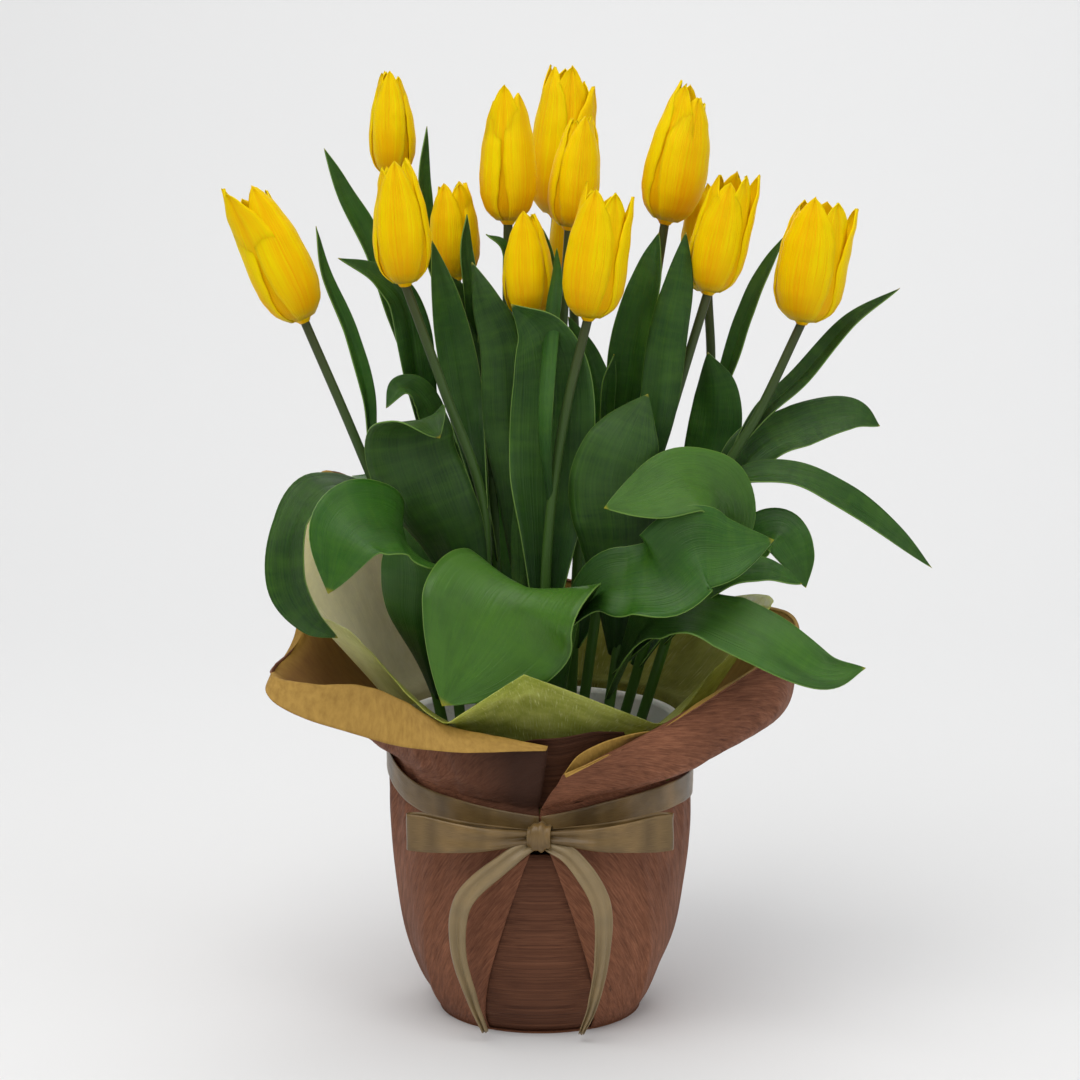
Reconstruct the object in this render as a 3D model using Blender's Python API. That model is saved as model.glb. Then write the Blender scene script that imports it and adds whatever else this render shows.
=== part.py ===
# Yellow tulips in a pot, wrapped in two-sided paper and tied with a ribbon bow.
# Metres, +Z up. The origin is under the middle of the pot, on the surface it stands on; the front is -Y.
# Lengths are millimetres here; MM turns them into metres where a mesh is made.

import math

import bmesh
import bpy
from mathutils import Matrix, Vector

MM = 0.001
GAP = 0.3                      # clearance between pieces that touch
SHEET = 0.8                    # thickness of paper, liner and ribbon in these solids

# The front view that the plant's points were measured in
EYE_DISTANCE = 1500.0
EYE_TILT = math.radians(10.0)
AIM_HEIGHT = 240.0             # where the line of sight meets the pot's axis
AIM_V = 230.0                  # that point's height in the front view

# Pot and soil
POT_FLOOR_Z = SHEET + GAP
POT_FLOOR = 2.0
POT_WALL = 1.6
POT_BASE_R = 47.0
POT_TOP_R = 68.5
POT_RIM_R = 71.5
POT_RIM_HEIGHT = 11.0
POT_TOP_Z = 150.0
DRAIN_R = 6.0
SOIL_TOP_Z = 132.0

# Bulbs stand in two rings under the soil
OUTER_RING = 46.0
OUTER_COUNT = 9
INNER_RING = 20.0
INNER_COUNT = 5
BULB_R = 11.0
BULB_HEIGHT = 26.0
BULB_COVER = 6.0               # soil over the bulb's shoulder
STEM_R = 2.5
STEM_SIDES = 6
STEM_ROWS = 7

LEAF_THICK = 0.8
LEAF_BROADEST = 0.4            # how far along a leaf it is broadest, unless the leaf says
PETAL_THICK = 0.8
PETAL_LAYER_GAP = 2.1          # how much smaller the inner three petals stand

GREEN = (0.05, 0.15, 0.03, 1)
YELLOW = (0.95, 0.66, 0.01, 1)
BROWN_PAPER = (0.17, 0.075, 0.045, 1)
LINER_GREEN = (0.55, 0.56, 0.22, 1)
RIBBON_GOLD = (0.27, 0.21, 0.10, 1)
POT_WHITE = (0.72, 0.71, 0.66, 1)
SOIL_BROWN = (0.035, 0.025, 0.018, 1)


def at(u, v, d):
    """The point seen u right of the pot's axis and v above its foot in the front view, d behind the axis."""
    eye = Vector((0, -EYE_DISTANCE * math.cos(EYE_TILT), AIM_HEIGHT + EYE_DISTANCE * math.sin(EYE_TILT)))
    up = Vector((0, math.sin(EYE_TILT), math.cos(EYE_TILT)))
    seen = Vector((u, 0, AIM_HEIGHT)) + up * (v - AIM_V)
    return eye + (seen - eye) * ((d - eye.y) / (seen.y - eye.y))


def polar(angle, radius, z):
    """A point by its compass angle round the pot: 0 is right, -90 is the front."""
    a = math.radians(angle)
    return Vector((radius * math.cos(a), radius * math.sin(a), z))


def smooth_at(knots, s):
    """Catmull-Rom through evenly counted knots: s runs from 0 to 1. Knots are numbers or Vectors."""
    last = len(knots) - 1
    x = min(max(s, 0.0), 1.0) * last
    i = min(int(x), last - 1)
    f = x - i
    p1, p2 = knots[i], knots[i + 1]
    p0 = knots[i - 1] if i > 0 else p1 + (p1 - p2)
    p3 = knots[i + 2] if i + 2 <= last else p2 + (p2 - p1)
    return 0.5 * (2 * p1 + f * (p2 - p0) + f * f * (2 * p0 - 5 * p1 + 4 * p2 - p3)
                  + f ** 3 * (3 * p1 - 3 * p2 + p3 - p0))


def profile_at(pairs, x):
    """A smooth value read from (x, value) pairs."""
    if x <= pairs[0][0]:
        return pairs[0][1]
    for (x0, y0), (x1, y1) in zip(pairs, pairs[1:]):
        if x <= x1:
            f = (x - x0) / (x1 - x0)
            f = f * f * (3 - 2 * f) * 0.5 + f * 0.5
            return y0 + (y1 - y0) * f
    return pairs[-1][1]


def material(name, colour, roughness):
    made = bpy.data.materials.new(name)
    made.use_nodes = True
    shader = made.node_tree.nodes["Principled BSDF"]
    shader.inputs["Base Color"].default_value = colour
    shader.inputs["Roughness"].default_value = roughness
    shader.inputs["Metallic"].default_value = 0.0
    return made


def solid(name, points, faces, finish=None):
    """An object from points in millimetres."""
    mesh = bpy.data.meshes.new(name)
    mesh.from_pydata([p * MM for p in points], [], faces)
    work = bmesh.new()
    work.from_mesh(mesh)
    bmesh.ops.recalc_face_normals(work, faces=work.faces)
    work.to_mesh(mesh)
    work.free()
    mesh.shade_smooth()
    made = bpy.data.objects.new(name, mesh)
    bpy.context.scene.collection.objects.link(made)
    if finish:
        mesh.materials.append(finish)
    return made


def unite(body, others, solver="EXACT"):
    """Joins others to body in one Boolean, and removes them."""
    group = bpy.data.collections.new("to_join")
    for other in others:
        group.objects.link(other)
    union = body.modifiers.new("union", "BOOLEAN")
    union.operation = "UNION"
    union.operand_type = "COLLECTION"
    union.collection = group
    union.solver = solver
    bpy.context.view_layer.objects.active = body
    bpy.ops.object.modifier_apply(modifier=union.name)
    for other in others:
        bpy.data.objects.remove(other)
    bpy.data.collections.remove(group)
    return body


def sheet_solid(name, top, thickness, finish=None, closed=False, point_tip=False):
    """A sheet with a front and a back face from rows of points. closed joins each row's ends; point_tip ends it in a point."""
    rows, columns = len(top), len(top[0])

    def normal(i, j):
        before = (j - 1) % columns if closed else max(j - 1, 0)
        after = (j + 1) % columns if closed else min(j + 1, columns - 1)
        across = top[i][after] - top[i][before]
        along = top[min(i + 1, rows - 1)][j] - top[max(i - 1, 0)][j]
        if across.length < 1e-6:
            across = top[i - 1][columns - 1] - top[i - 1][0]
        return along.cross(across).normalized()

    points, front, back = [], [], []
    for i in range(rows):
        one = point_tip and i == rows - 1
        line = [(i, columns // 2)] if one else [(i, j) for j in range(columns)]
        offset = [normal(*at_ij) * thickness / 2 for at_ij in line]
        front.append([len(points) + k for k in range(len(line))])
        points += [top[a][b] + o for (a, b), o in zip(line, offset)]
        back.append([len(points) + k for k in range(len(line))])
        points += [top[a][b] - o for (a, b), o in zip(line, offset)]

    faces = []
    spans = columns if closed else columns - 1
    for i in range(rows - 1):
        for j in range(spans):
            k = (j + 1) % columns
            for side, turn in ((front, False), (back, True)):
                low, high = side[i], side[i + 1]
                if len(high) == 1:
                    face = (low[j], low[k], high[0])
                    faces.append(face[::-1] if turn else face)
                else:
                    # split alike on both faces, so that a waved blade keeps its thickness
                    for face in ((low[j], low[k], high[k]), (low[j], high[k], high[j])):
                        faces.append(face[::-1] if turn else face)
    for j in range(spans):
        k = (j + 1) % columns
        faces.append((front[0][k], front[0][j], back[0][j], back[0][k]))
        if not point_tip:
            faces.append((front[-1][j], front[-1][k], back[-1][k], back[-1][j]))
    if not closed:
        for i in range(rows - 1):
            for j in (0, -1):
                if len(front[i + 1]) == 1:
                    faces.append((front[i][j], front[i + 1][0], back[i + 1][0], back[i][j]))
                else:
                    faces.append((front[i][j], front[i + 1][j], back[i + 1][j], back[i][j]))
    return solid(name, points, faces, finish)


def tube(name, route, radii, sides, finish=None):
    """A round rod along the route, with flat ends."""
    points, faces = [], []
    side = Vector((1, 0, 0))
    for i, p in enumerate(route):
        along = (route[min(i + 1, len(route) - 1)] - route[max(i - 1, 0)]).normalized()
        side = (side - along * side.dot(along)).normalized()
        other = along.cross(side)
        for k in range(sides):
            turn = 2 * math.pi * k / sides
            points.append(p + radii[i] * (math.cos(turn) * side + math.sin(turn) * other))
    for i in range(len(route) - 1):
        for k in range(sides):
            a, b = i * sides + k, i * sides + (k + 1) % sides
            faces.append((a, b, b + sides, a + sides))
    faces.append(tuple(reversed(range(sides))))
    faces.append(tuple(range(len(points) - sides, len(points))))
    return solid(name, points, faces, finish)


# The plants. Each has its place in a ring of bulbs, its stem's points and its bloom, and its leaves.
# Points are (u, v, d), read in the front view; a leaf starts on the stem at the height v that "from" gives.

def ring_place(ring, number):
    if ring == "outer":
        return polar(-90 + number * 360 / OUTER_COUNT, OUTER_RING, SOIL_TOP_Z)
    return polar(-54 + number * 360 / INNER_COUNT, INNER_RING, SOIL_TOP_Z)


PLANTS = {
    "far_left": {
        "place": ("outer", 7),
        "stem": [(-66, 215, -10), (-92, 280, -12)],
        "bloom": {"foot": (-118, 340, -10), "length": 74, "radius": 16.5, "lean": -23, "nod": -4, "spin": -60,
                  "tip": 0.55, "flare": {5: 7, 4: 3}},
        "leaves": [
            {"from": 215, "route": [(-86, 250, -6), (-108, 257, -14), (-123, 238, -24), (-125, 208, -30), (-115, 190, -34),
                                    (-101, 181, -36)],
             "width": 29, "cup": 26, "face": [(0, 30), (-60, 70), (-140, 40), (-120, 5), (-100, 0)]},
            {"from": 262, "route": [(-86, 300, -4), (-95, 332, -1), (-107, 362, 2), (-112, 387, 4)],
             "width": 10, "cup": 40, "face": [(-60, 20), (-40, 20)]},
            {"from": 150, "route": [(-62, 190, -38), (-62, 222, -54), (-76, 245, -72), (-96, 240, -88), (-105, 206, -92)],
             "width": 46, "cup": 22, "face": [(60, 0), (80, 10), (-80, 60), (-95, 30), (-100, 0)]},
        ],
    },
    "back_left": {
        "place": ("outer", 6),
        "stem": [(-52, 260, 38), (-66, 340, 44)],
        "bloom": {"foot": (-74, 412, 47), "length": 52, "radius": 12, "lean": 0, "nod": 2, "spin": 20, "tip": 0.42},
        "leaves": [
            {"from": 235, "route": [(-60, 305, 14), (-67, 345, 8), (-80, 361, 2), (-101, 371, -4)],
             "width": 19, "cup": 30, "face": [(-60, 20), (-70, 20), (-90, 50)]},
            {"from": 265, "route": [(-70, 335, 30), (-82, 372, 34), (-97, 402, 37), (-108, 426, 38)],
             "width": 14, "cup": 35, "face": [(-50, 20), (-70, 10)]},
            {"from": 160, "route": [(-62, 235, 54), (-80, 258, 70), (-94, 262, 84)],
             "width": 34, "cup": 30, "face": [(-40, 0), (-60, 60), (140, 50)]},
        ],
    },
    "front_left": {
        "place": ("outer", 8),
        "stem": [(-28, 245, -32), (-48, 305, -30)],
        "bloom": {"foot": (-67.5, 358, -25), "length": 60, "radius": 14.5, "lean": -4, "nod": -3, "spin": -90, "tip": 0.45},
        "leaves": [
            {"from": 165, "route": [(-42, 220, -36), (-56, 252, -42), (-64, 277, -46), (-60, 290, -54), (-50, 281, -60)],
             "width": 46, "cup": 24, "wave": 3, "broadest": 0.55,
             "face": [(60, 0), (70, 10), (110, 20), (-60, 80), (-60, 20)]},
            {"from": 250, "route": [(-36, 290, -15), (-41, 320, -12), (-47, 350, -12), (-54, 380, -8)],
             "width": 20, "cup": 30, "face": [(-95, 0), (-85, 5)]},
            {"from": 160, "route": [(-31, 225, -18), (-32, 260, -12), (-29, 288, -8)],
             "width": 15, "cup": 35, "face": [(-110, 0), (-80, 10)]},
        ],
    },
    "mid_left": {
        "place": ("inner", 3),
        "stem": [(-24, 250, 10), (-34, 310, 16)],
        "bloom": {"foot": (-42, 361, 20), "length": 50, "radius": 13, "lean": -2, "nod": 0, "spin": -120, "tip": 0.6},
        "leaves": [
            {"from": 215, "route": [(-29, 275, 6), (-29, 318, 6), (-37, 347, 4), (-49, 365, 3)],
             "width": 20, "cup": 35, "face": [(-20, 0), (-60, 20), (-60, 50)]},
            {"from": 300, "route": [(-34, 350, 2), (-37, 375, 1), (-36.5, 393, 0)],
             "width": 8, "cup": 40, "face": [(-100, 0), (-60, 0)]},
            {"from": 305, "route": [(-54, 370, 32), (-58, 408, 35), (-56.5, 437, 37)],
             "width": 9, "cup": 40, "face": [(-60, 0), (-60, 0)]},
            {"from": 200, "route": [(-50, 280, -4), (-60, 302, -8), (-70, 306, -14), (-77, 296, -20)],
             "width": 17, "cup": 25, "face": [(-50, 10), (-70, 40), (-110, 40)]},
        ],
    },
    "mid": {
        "place": ("inner", 2),
        "stem": [(-10, 270, 14), (-16, 340, 8)],
        "bloom": {"foot": (-16, 389, 5), "length": 67, "radius": 14.5, "lean": 0, "nod": 0, "spin": -42, "tip": 0.5},
        "leaves": [
            {"from": 340, "route": [(-17, 374, -4), (-27, 383, -6)], "width": 6, "cup": 30, "face": [(-60, 20), (-60, 50)]},
            {"from": 170, "route": [(-20, 235, 34), (-30, 300, 44), (-34, 335, 50)],
             "width": 34, "cup": 35, "face": [(-80, 0), (-80, 10)]},
        ],
    },
    "back_tall": {
        "place": ("outer", 5),
        "stem": [(-8, 260, 52), (2, 330, 60)],
        "bloom": {"foot": (8, 392, 64), "length": 76, "radius": 17, "lean": 5, "nod": 2, "spin": -20, "tip": 0.62,
                  "flare": {0: 4}},
        "leaves": [
            {"from": 165, "route": [(-24, 230, 72), (-40, 270, 92), (-52, 290, 118)],
             "width": 38, "cup": 30, "face": [(-90, 0), (-90, 40), (-90, 70)]},
            {"from": 200, "route": [(-4, 280, 70), (-10, 330, 84), (-16, 370, 92)],
             "width": 20, "cup": 35, "face": [(-90, 0), (-90, 20)]},
        ],
    },
    "mid_right": {
        "place": ("inner", 0),
        "stem": [(8, 270, -6), (11, 330, 4)],
        "bloom": {"foot": (14.5, 386, 8), "length": 56, "radius": 13, "lean": 7, "nod": 0, "spin": -75, "tip": 0.42},
        "leaves": [
            {"from": 300, "route": [(6, 350, -6), (2.5, 377, -8), (-4.5, 393, -9)],
             "width": 7, "cup": 40, "face": [(-70, 0), (-60, 20)]},
        ],
    },
    "front_low": {
        "place": ("inner", 4),
        "stem": [(-10, 240, -20), (-8, 295, -22)],
        "bloom": {"foot": (-5.5, 341, -22), "length": 53, "radius": 13, "lean": -2, "nod": -3, "spin": -100, "tip": 0.38},
        "leaves": [
            {"from": 205, "route": [(-13, 252, -28), (-17, 290, -29), (-19, 325, -30), (-28, 350, -30), (-34, 369, -24)],
             "width": 24, "cup": 30, "face": [(80, 0), (90, 10), (60, 20)]},
            {"from": 155, "route": [(-11, 215, -34), (-12.5, 250, -36)], "width": 9, "cup": 40, "face": [(60, 0), (70, 0)]},
        ],
    },
    "front": {
        "place": ("outer", 0),
        "stem": [(4, 230, -46), (12, 290, -44)],
        "bloom": {"foot": (24, 341, -42), "length": 66, "radius": 16, "lean": 7, "nod": -4, "spin": -115, "tip": 0.62,
                  "flare": {2: 6}},
        "leaves": [
            {"from": 192, "route": [(5, 240, -38), (6, 280, -36), (6, 312, -36), (0, 334, -40), (-14.5, 348, -45)],
             "width": 38, "cup": 30, "wave": 2, "face": [(-90, 0), (-90, 10), (-90, -30)]},
            {"from": 250, "route": [(2, 285, -51), (5, 335, -40), (8, 360, -32), (8.5, 376, -30)],
             "width": 9, "cup": 35, "face": [(60, 0), (60, 0)]},
            {"from": 150, "route": [(-5, 185, -64), (-4, 206, -74), (-14, 201, -83), (-28, 178, -87), (-49, 147, -91)],
             "width": 78, "cup": 14, "broadest": 0.62, "face": [(90, 0), (90, 30), (-85, 70), (-75, 30), (-75, 10)]},
            {"from": 175, "route": [(26, 200, -64), (56, 211, -78), (88, 221, -82), (117, 229, -74)],
             "width": 44, "cup": 18, "wave": 6, "face": [(-120, 60), (-90, 45), (-90, 20), (-80, 20)]},
        ],
    },
    "tall_right": {
        "place": ("inner", 1),
        "stem": [(38, 265, 12), (52, 325, 14)],
        "bloom": {"foot": (62.5, 389, 15), "length": 69, "radius": 16.5, "lean": 12, "nod": 0, "spin": -70, "tip": 0.48},
        "leaves": [
            {"from": 230, "route": [(42, 296, 0), (47, 332, 0), (54, 362, 4), (59.5, 384, 8)],
             "width": 22, "cup": 30, "face": [(-120, 10), (-110, 10)]},
            {"from": 225, "route": [(33, 298, -8), (37, 323, -10)], "width": 9, "cup": 35, "face": [(-60, 0), (-60, 0)]},
        ],
    },
    "right": {
        "place": ("outer", 1),
        "stem": [(48, 235, -28), (66, 295, -20)],
        "bloom": {"foot": (84, 354, -15), "length": 60, "radius": 14.5, "lean": 12, "nod": -3, "spin": -100, "tip": 0.6,
                  "flare": {2: 4}},
        "leaves": [
            {"from": 252, "route": [(59, 290, -30), (64, 330, -30), (70, 360, -27), (73, 384, -24)],
             "width": 20, "cup": 32, "face": [(90, 0), (100, 10)]},
            {"from": 175, "route": [(38, 230, -48), (36, 260, -55), (44, 284, -55), (54, 303, -50)],
             "width": 38, "cup": 22, "wave": 4, "face": [(80, 0), (80, 10), (60, 10)]},
            {"from": 158, "route": [(55, 190, -56), (80, 192, -70), (110, 181, -82), (140, 164, -90), (163, 166, -90)],
             "width": 34, "cup": 16, "wave": 4.5, "face": [(-120, 60), (-90, 60), (-80, 40), (-60, 30)]},
            {"from": 170, "route": [(84, 205, -50), (110, 214, -54), (131, 208, -56)],
             "width": 20, "cup": 30, "face": [(-120, 60), (-80, 60), (-60, 30)]},
        ],
    },
    "far_right": {
        "place": ("outer", 2),
        "stem": [(86, 252, -10), (110, 295, -10)],
        "bloom": {"foot": (131, 339, -8), "length": 62, "radius": 18, "lean": 8, "nod": -3, "spin": -110, "tip": 0.72,
                  "flare": {2: 6}},
        "leaves": [
            {"from": 272, "route": [(112, 294, -4), (131, 312, -1), (155, 339, 2), (180, 356, 4)],
             "width": 12, "cup": 35, "face": [(-120, 20), (-100, 40)]},
            {"from": 225, "route": [(104, 272, -4), (130, 287, 0), (155, 293, 4), (170, 287, 4)],
             "width": 25, "cup": 16, "face": [(-130, 40), (-90, 40), (-90, 30)]},
            {"from": 235, "route": [(100, 260, -18), (125, 262, -22), (150, 252, -24), (175, 235, -24), (196, 216, -24)],
             "width": 18, "cup": 25, "face": [(-130, 50), (-90, 60), (-80, 10)]},
            {"from": 212, "route": [(92, 234, -36), (88, 253, -54), (70, 256, -66), (51, 251, -76), (33, 245, -84)],
             "width": 40, "cup": 16, "broadest": 0.6, "face": [(-125, -20), (-80, 20), (-70, 45), (-90, 40)]},
            {"from": 180, "route": [(100, 222, -22), (118, 234, -28), (128, 222, -32), (133, 206, -32)],
             "width": 26, "cup": 22, "face": [(-130, 50), (-90, 40), (-80, 0)]},
        ],
    },
    "back_mid": {
        "place": ("outer", 4),
        "stem": [(20, 260, 42), (18, 320, 40)],
        "bloom": {"foot": (16, 362, 36), "length": 48, "radius": 12.5, "lean": 0, "nod": 0, "spin": 0, "tip": 0.42},
        "leaves": [
            {"from": 235, "route": [(30, 292, 22), (25, 318, 18), (14, 342, 14)],
             "width": 18, "cup": 30, "face": [(120, 0), (100, 0)]},
            {"from": 165, "route": [(38, 225, 66), (56, 262, 88), (66, 275, 112)],
             "width": 36, "cup": 30, "face": [(-110, 0), (-100, 40), (-90, 70)]},
        ],
    },
    "back_right": {
        "place": ("outer", 3),
        "stem": [(76, 260, 26), (85, 310, 28)],
        "bloom": {"foot": (84, 354, 31), "length": 54, "radius": 13.5, "lean": -4, "nod": 2, "spin": 10, "tip": 0.45},
        "leaves": [
            {"from": 240, "route": [(92, 308, 24), (102, 340, 26), (112, 364, 28), (123, 383, 30)],
             "width": 11, "cup": 38, "face": [(-140, 10), (-110, 20)]},
            {"from": 215, "route": [(84, 272, 14), (88, 302, 13), (84, 324, 12)],
             "width": 27, "cup": 26, "face": [(90, 0), (70, 0)]},
            {"from": 160, "route": [(78, 210, 50), (108, 232, 66), (132, 222, 78)],
             "width": 34, "cup": 28, "face": [(-140, 0), (-120, 60), (30, 40)]},
        ],
    },
}

LEAF_ACROSS = [-1.0, 0.0, 1.0]
LEAF_ROW = 23.0                # spacing of the rows along a leaf
PETAL_ACROSS = [-1.0, -0.38, 0.38, 1.0]
PETAL_ALONG = [0.06, 0.36, 0.7, 1.0]


def stem_route(plant):
    """The stem's points from the bulb's tip in the soil to the bloom's foot."""
    foot = ring_place(*plant["place"])
    head = at(*plant["bloom"]["foot"])
    return [foot, foot.lerp(at(*plant["stem"][0]), 0.4)] + [at(*p) for p in plant["stem"]] + [head]


def height_on_route(route, v):
    """Where along the route the front-view height v is met."""
    target = at(0, v, 0).z
    steps = 60
    for i in range(steps):
        if smooth_at(route, i / steps).z >= target:
            return i / steps
    return 1.0


def facing(turns, s):
    """The direction a leaf's upper face looks in, from (compass, height) angles evenly spaced along it."""
    looks = [Vector((math.cos(math.radians(c)) * math.cos(math.radians(h)),
                     math.sin(math.radians(c)) * math.cos(math.radians(h)), math.sin(math.radians(h)))) for c, h in turns]
    return smooth_at(looks, s) if len(looks) > 1 else looks[0]


def leaf_points(plant, leaf):
    """Rows of points across the leaf, from its root in the stem to its tip."""
    stem = stem_route(plant)
    root = smooth_at(stem, height_on_route(stem, leaf["from"]))
    knots = [root] + [at(*p) for p in leaf["route"]]
    length = sum((b - a).length for a, b in zip(knots, knots[1:]))
    rows = max(5, round(length / LEAF_ROW))
    middle = [smooth_at(knots, i / rows) for i in range(rows + 1)]
    points = []
    for i in range(rows + 1):
        s = i / rows
        along = (middle[min(i + 1, rows)] - middle[max(i - 1, 0)]).normalized()
        face = facing(leaf["face"], s)
        face = (face - along * face.dot(along)).normalized()
        edge = along.cross(face)
        span = leaf_width(s, leaf.get("broadest", LEAF_BROADEST))
        half = leaf["width"] / 2 * span
        cup = math.radians(leaf["cup"] + 50 * max(0.0, 1 - s / 0.3))
        wave = leaf.get("wave", 0) * math.sin(math.pi * min(1, 2 * s)) * span
        row = []
        for t in LEAF_ACROSS:
            lift = half * (1 - math.cos(cup * t)) / cup + wave * t * t * math.sin(13 * s + 1.6 * t)
            row.append(middle[i] + edge * (half * math.sin(cup * t) / cup) + face * lift)
        points.append(row)
    return points


def leaf_width(s, broadest):
    """A tulip leaf's width along its length: it clasps the stem, is broadest at that share and ends in a point."""
    if s < broadest:
        return 0.3 + 0.7 * math.sin(math.pi / 2 * s / broadest)
    return math.cos(math.pi / 2 * ((s - broadest) / (1 - broadest)) ** 1.35)


CUP_PROFILE = [(0, 0.3), (0.05, 0.58), (0.12, 0.82), (0.24, 0.97), (0.38, 1.0), (0.6, 0.92), (0.82, 0.73), (1.0, 0.5)]
PETAL_OUTLINE = [(0, 0.3), (0.12, 0.66), (0.28, 0.93), (0.45, 1.0), (0.65, 0.92), (0.82, 0.68), (0.93, 0.38), (1.0, 0.0)]
HEEL_SHARE = 0.1               # how much of the bloom's length its closed foot takes


def petal_points(bloom, number):
    """Rows of points across one petal, in the bloom's own frame, in millimetres. Even petals are the outer three."""
    inner = number % 2
    radius = bloom["radius"] - inner * PETAL_LAYER_GAP - 0.13 * number
    length = bloom["length"] * (0.97 if inner else 1.0)
    middle_angle = bloom["spin"] + 60 * number
    half = 0.96 * radius
    flare = bloom.get("flare", {}).get(number, 0)
    closing = bloom["tip"] - CUP_PROFILE[-1][1]
    points = []
    for s in PETAL_ALONG:
        r = radius * (profile_at(CUP_PROFILE, s) + closing * max(0.0, (s - 0.4) / 0.6) ** 1.4)
        r += flare * max(0, (s - 0.35) / 0.65) ** 2
        reach = half * profile_at(PETAL_OUTLINE, s) / r
        points.append([polar(middle_angle + math.degrees(reach * t), r, length * s) for t in PETAL_ACROSS])
    return points


def bloom_matrix(bloom):
    """The bloom stands on its foot, leaning lean degrees to the right and nodding nod degrees away."""
    foot = at(*bloom["foot"])
    return Matrix.Translation(foot) @ Matrix.Rotation(math.radians(bloom["lean"]), 4, "Y") \
        @ Matrix.Rotation(math.radians(-bloom["nod"]), 4, "X")


def make_bloom(name, bloom, finish):
    place = bloom_matrix(bloom)
    heel = [(-1.0, 3.4), (1.0, 0.42 * bloom["radius"]),
            (HEEL_SHARE * bloom["length"], bloom["radius"] * profile_at(CUP_PROFILE, HEEL_SHARE) - 0.25)]
    foot = tube(name, [place @ Vector((0, 0, z)) for z, r in heel], [r for z, r in heel], 9, finish)
    petals = []
    for number in range(6):
        rows = [[place @ p for p in row] for row in petal_points(bloom, number)]
        petals.append(sheet_solid(f"{name}_petal", rows, PETAL_THICK, point_tip=True))
    return unite(foot, petals)


def bulb_profile(grow=0.0):
    """(height above the soil's top, radius) up the bulb and its neck."""
    shoulder = -BULB_COVER
    low = shoulder - BULB_HEIGHT
    return [(low - grow, BULB_R * 0.5 + grow), (low + 9, BULB_R + grow), (shoulder, STEM_R + 1.2 + grow)]


def make_plant(name, plant, finish):
    route = stem_route(plant)
    foot, head = route[0], route[-1]
    axis = bloom_matrix(plant["bloom"]).to_3x3() @ Vector((0, 0, 1))
    lower = [foot + Vector((0, 0, z)) for z, r in bulb_profile()]
    widths = [r for z, r in bulb_profile()]
    rising = [smooth_at(route, i / STEM_ROWS) for i in range(STEM_ROWS + 1)]
    tilt = axis.angle(rising[-1] - rising[-2])
    rising[-1] = head - axis * (1.0 + GAP + STEM_R * math.sin(tilt))
    stem = tube(name, lower + rising, widths + [STEM_R] * len(rising), STEM_SIDES, finish)
    leaves = [sheet_solid(f"{name}_leaf", leaf_points(plant, leaf), LEAF_THICK, point_tip=True)
              for leaf in plant["leaves"]]
    return unite(stem, leaves)


def turned(name, profile, finish, steps=32):
    """A round piece from (radius, z) pairs that run round its section."""
    points, faces = [], []
    for k in range(steps):
        for r, z in profile:
            points.append(polar(360 * k / steps, r, z))
    n = len(profile)
    for k in range(steps):
        for i in range(n):
            a, b = k * n + i, k * n + (i + 1) % n
            c, d = ((k + 1) % steps) * n + (i + 1) % n, ((k + 1) % steps) * n + i
            faces.append((a, b, c, d))
    return solid(name, points, faces, finish)


def pot_radius(z):
    return POT_BASE_R + (POT_TOP_R - POT_BASE_R) * (z - POT_FLOOR_Z) / (POT_TOP_Z - POT_FLOOR_Z)


def make_pot(finish):
    """A plain tapered pot with a rolled rim and one drain hole."""
    rim_low = POT_TOP_Z - POT_RIM_HEIGHT
    inside_floor = POT_FLOOR_Z + POT_FLOOR
    return turned("pot", [
        (DRAIN_R, POT_FLOOR_Z), (POT_BASE_R, POT_FLOOR_Z), (pot_radius(rim_low), rim_low), (POT_RIM_R, rim_low + 2),
        (POT_RIM_R, POT_TOP_Z - 1), (POT_RIM_R - 1, POT_TOP_Z), (POT_TOP_R, POT_TOP_Z),
        (pot_radius(POT_TOP_Z) - POT_WALL, POT_TOP_Z - 2), (pot_radius(inside_floor) - POT_WALL, inside_floor),
        (DRAIN_R, inside_floor)], finish, 32)


def make_soil(finish):
    """Soil fills the pot to below its rim, with a close hole for each bulb and its neck."""
    low = POT_FLOOR_Z + POT_FLOOR + GAP
    inset = POT_WALL + 2 * GAP
    soil = tube("soil", [Vector((0, 0, low)), Vector((0, 0, SOIL_TOP_Z))],
                [pot_radius(low) - inset, pot_radius(SOIL_TOP_Z) - inset], 32, finish)
    holes = []
    for name, plant in PLANTS.items():
        foot, rise = stem_route(plant)[0], smooth_at(stem_route(plant), 0.12)
        lower = [foot + Vector((0, 0, z)) for z, r in bulb_profile(GAP)]
        widths = [r for z, r in bulb_profile(GAP)]
        holes.append(tube(f"{name}_hole", lower + [foot - Vector((0, 0, 1)), rise], widths + [STEM_R + 1.2] * 2, STEM_SIDES))
    group = bpy.data.collections.new("holes")
    for hole in holes:
        group.objects.link(hole)
    cut = soil.modifiers.new("holes", "BOOLEAN")
    cut.operation = "DIFFERENCE"
    cut.operand_type = "COLLECTION"
    cut.collection = group
    bpy.context.view_layer.objects.active = soil
    bpy.ops.object.modifier_apply(modifier=cut.name)
    for hole in holes:
        bpy.data.objects.remove(hole)
    bpy.data.collections.remove(group)
    return soil


# The wrap is one sheet: a disc under the pot, a front panel, and two wings that meet at the knot.
# Its stations go round from the front by the left; each gives the sheet's turn above the ribbon, its top
# and the end of its turned-down flap.

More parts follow.
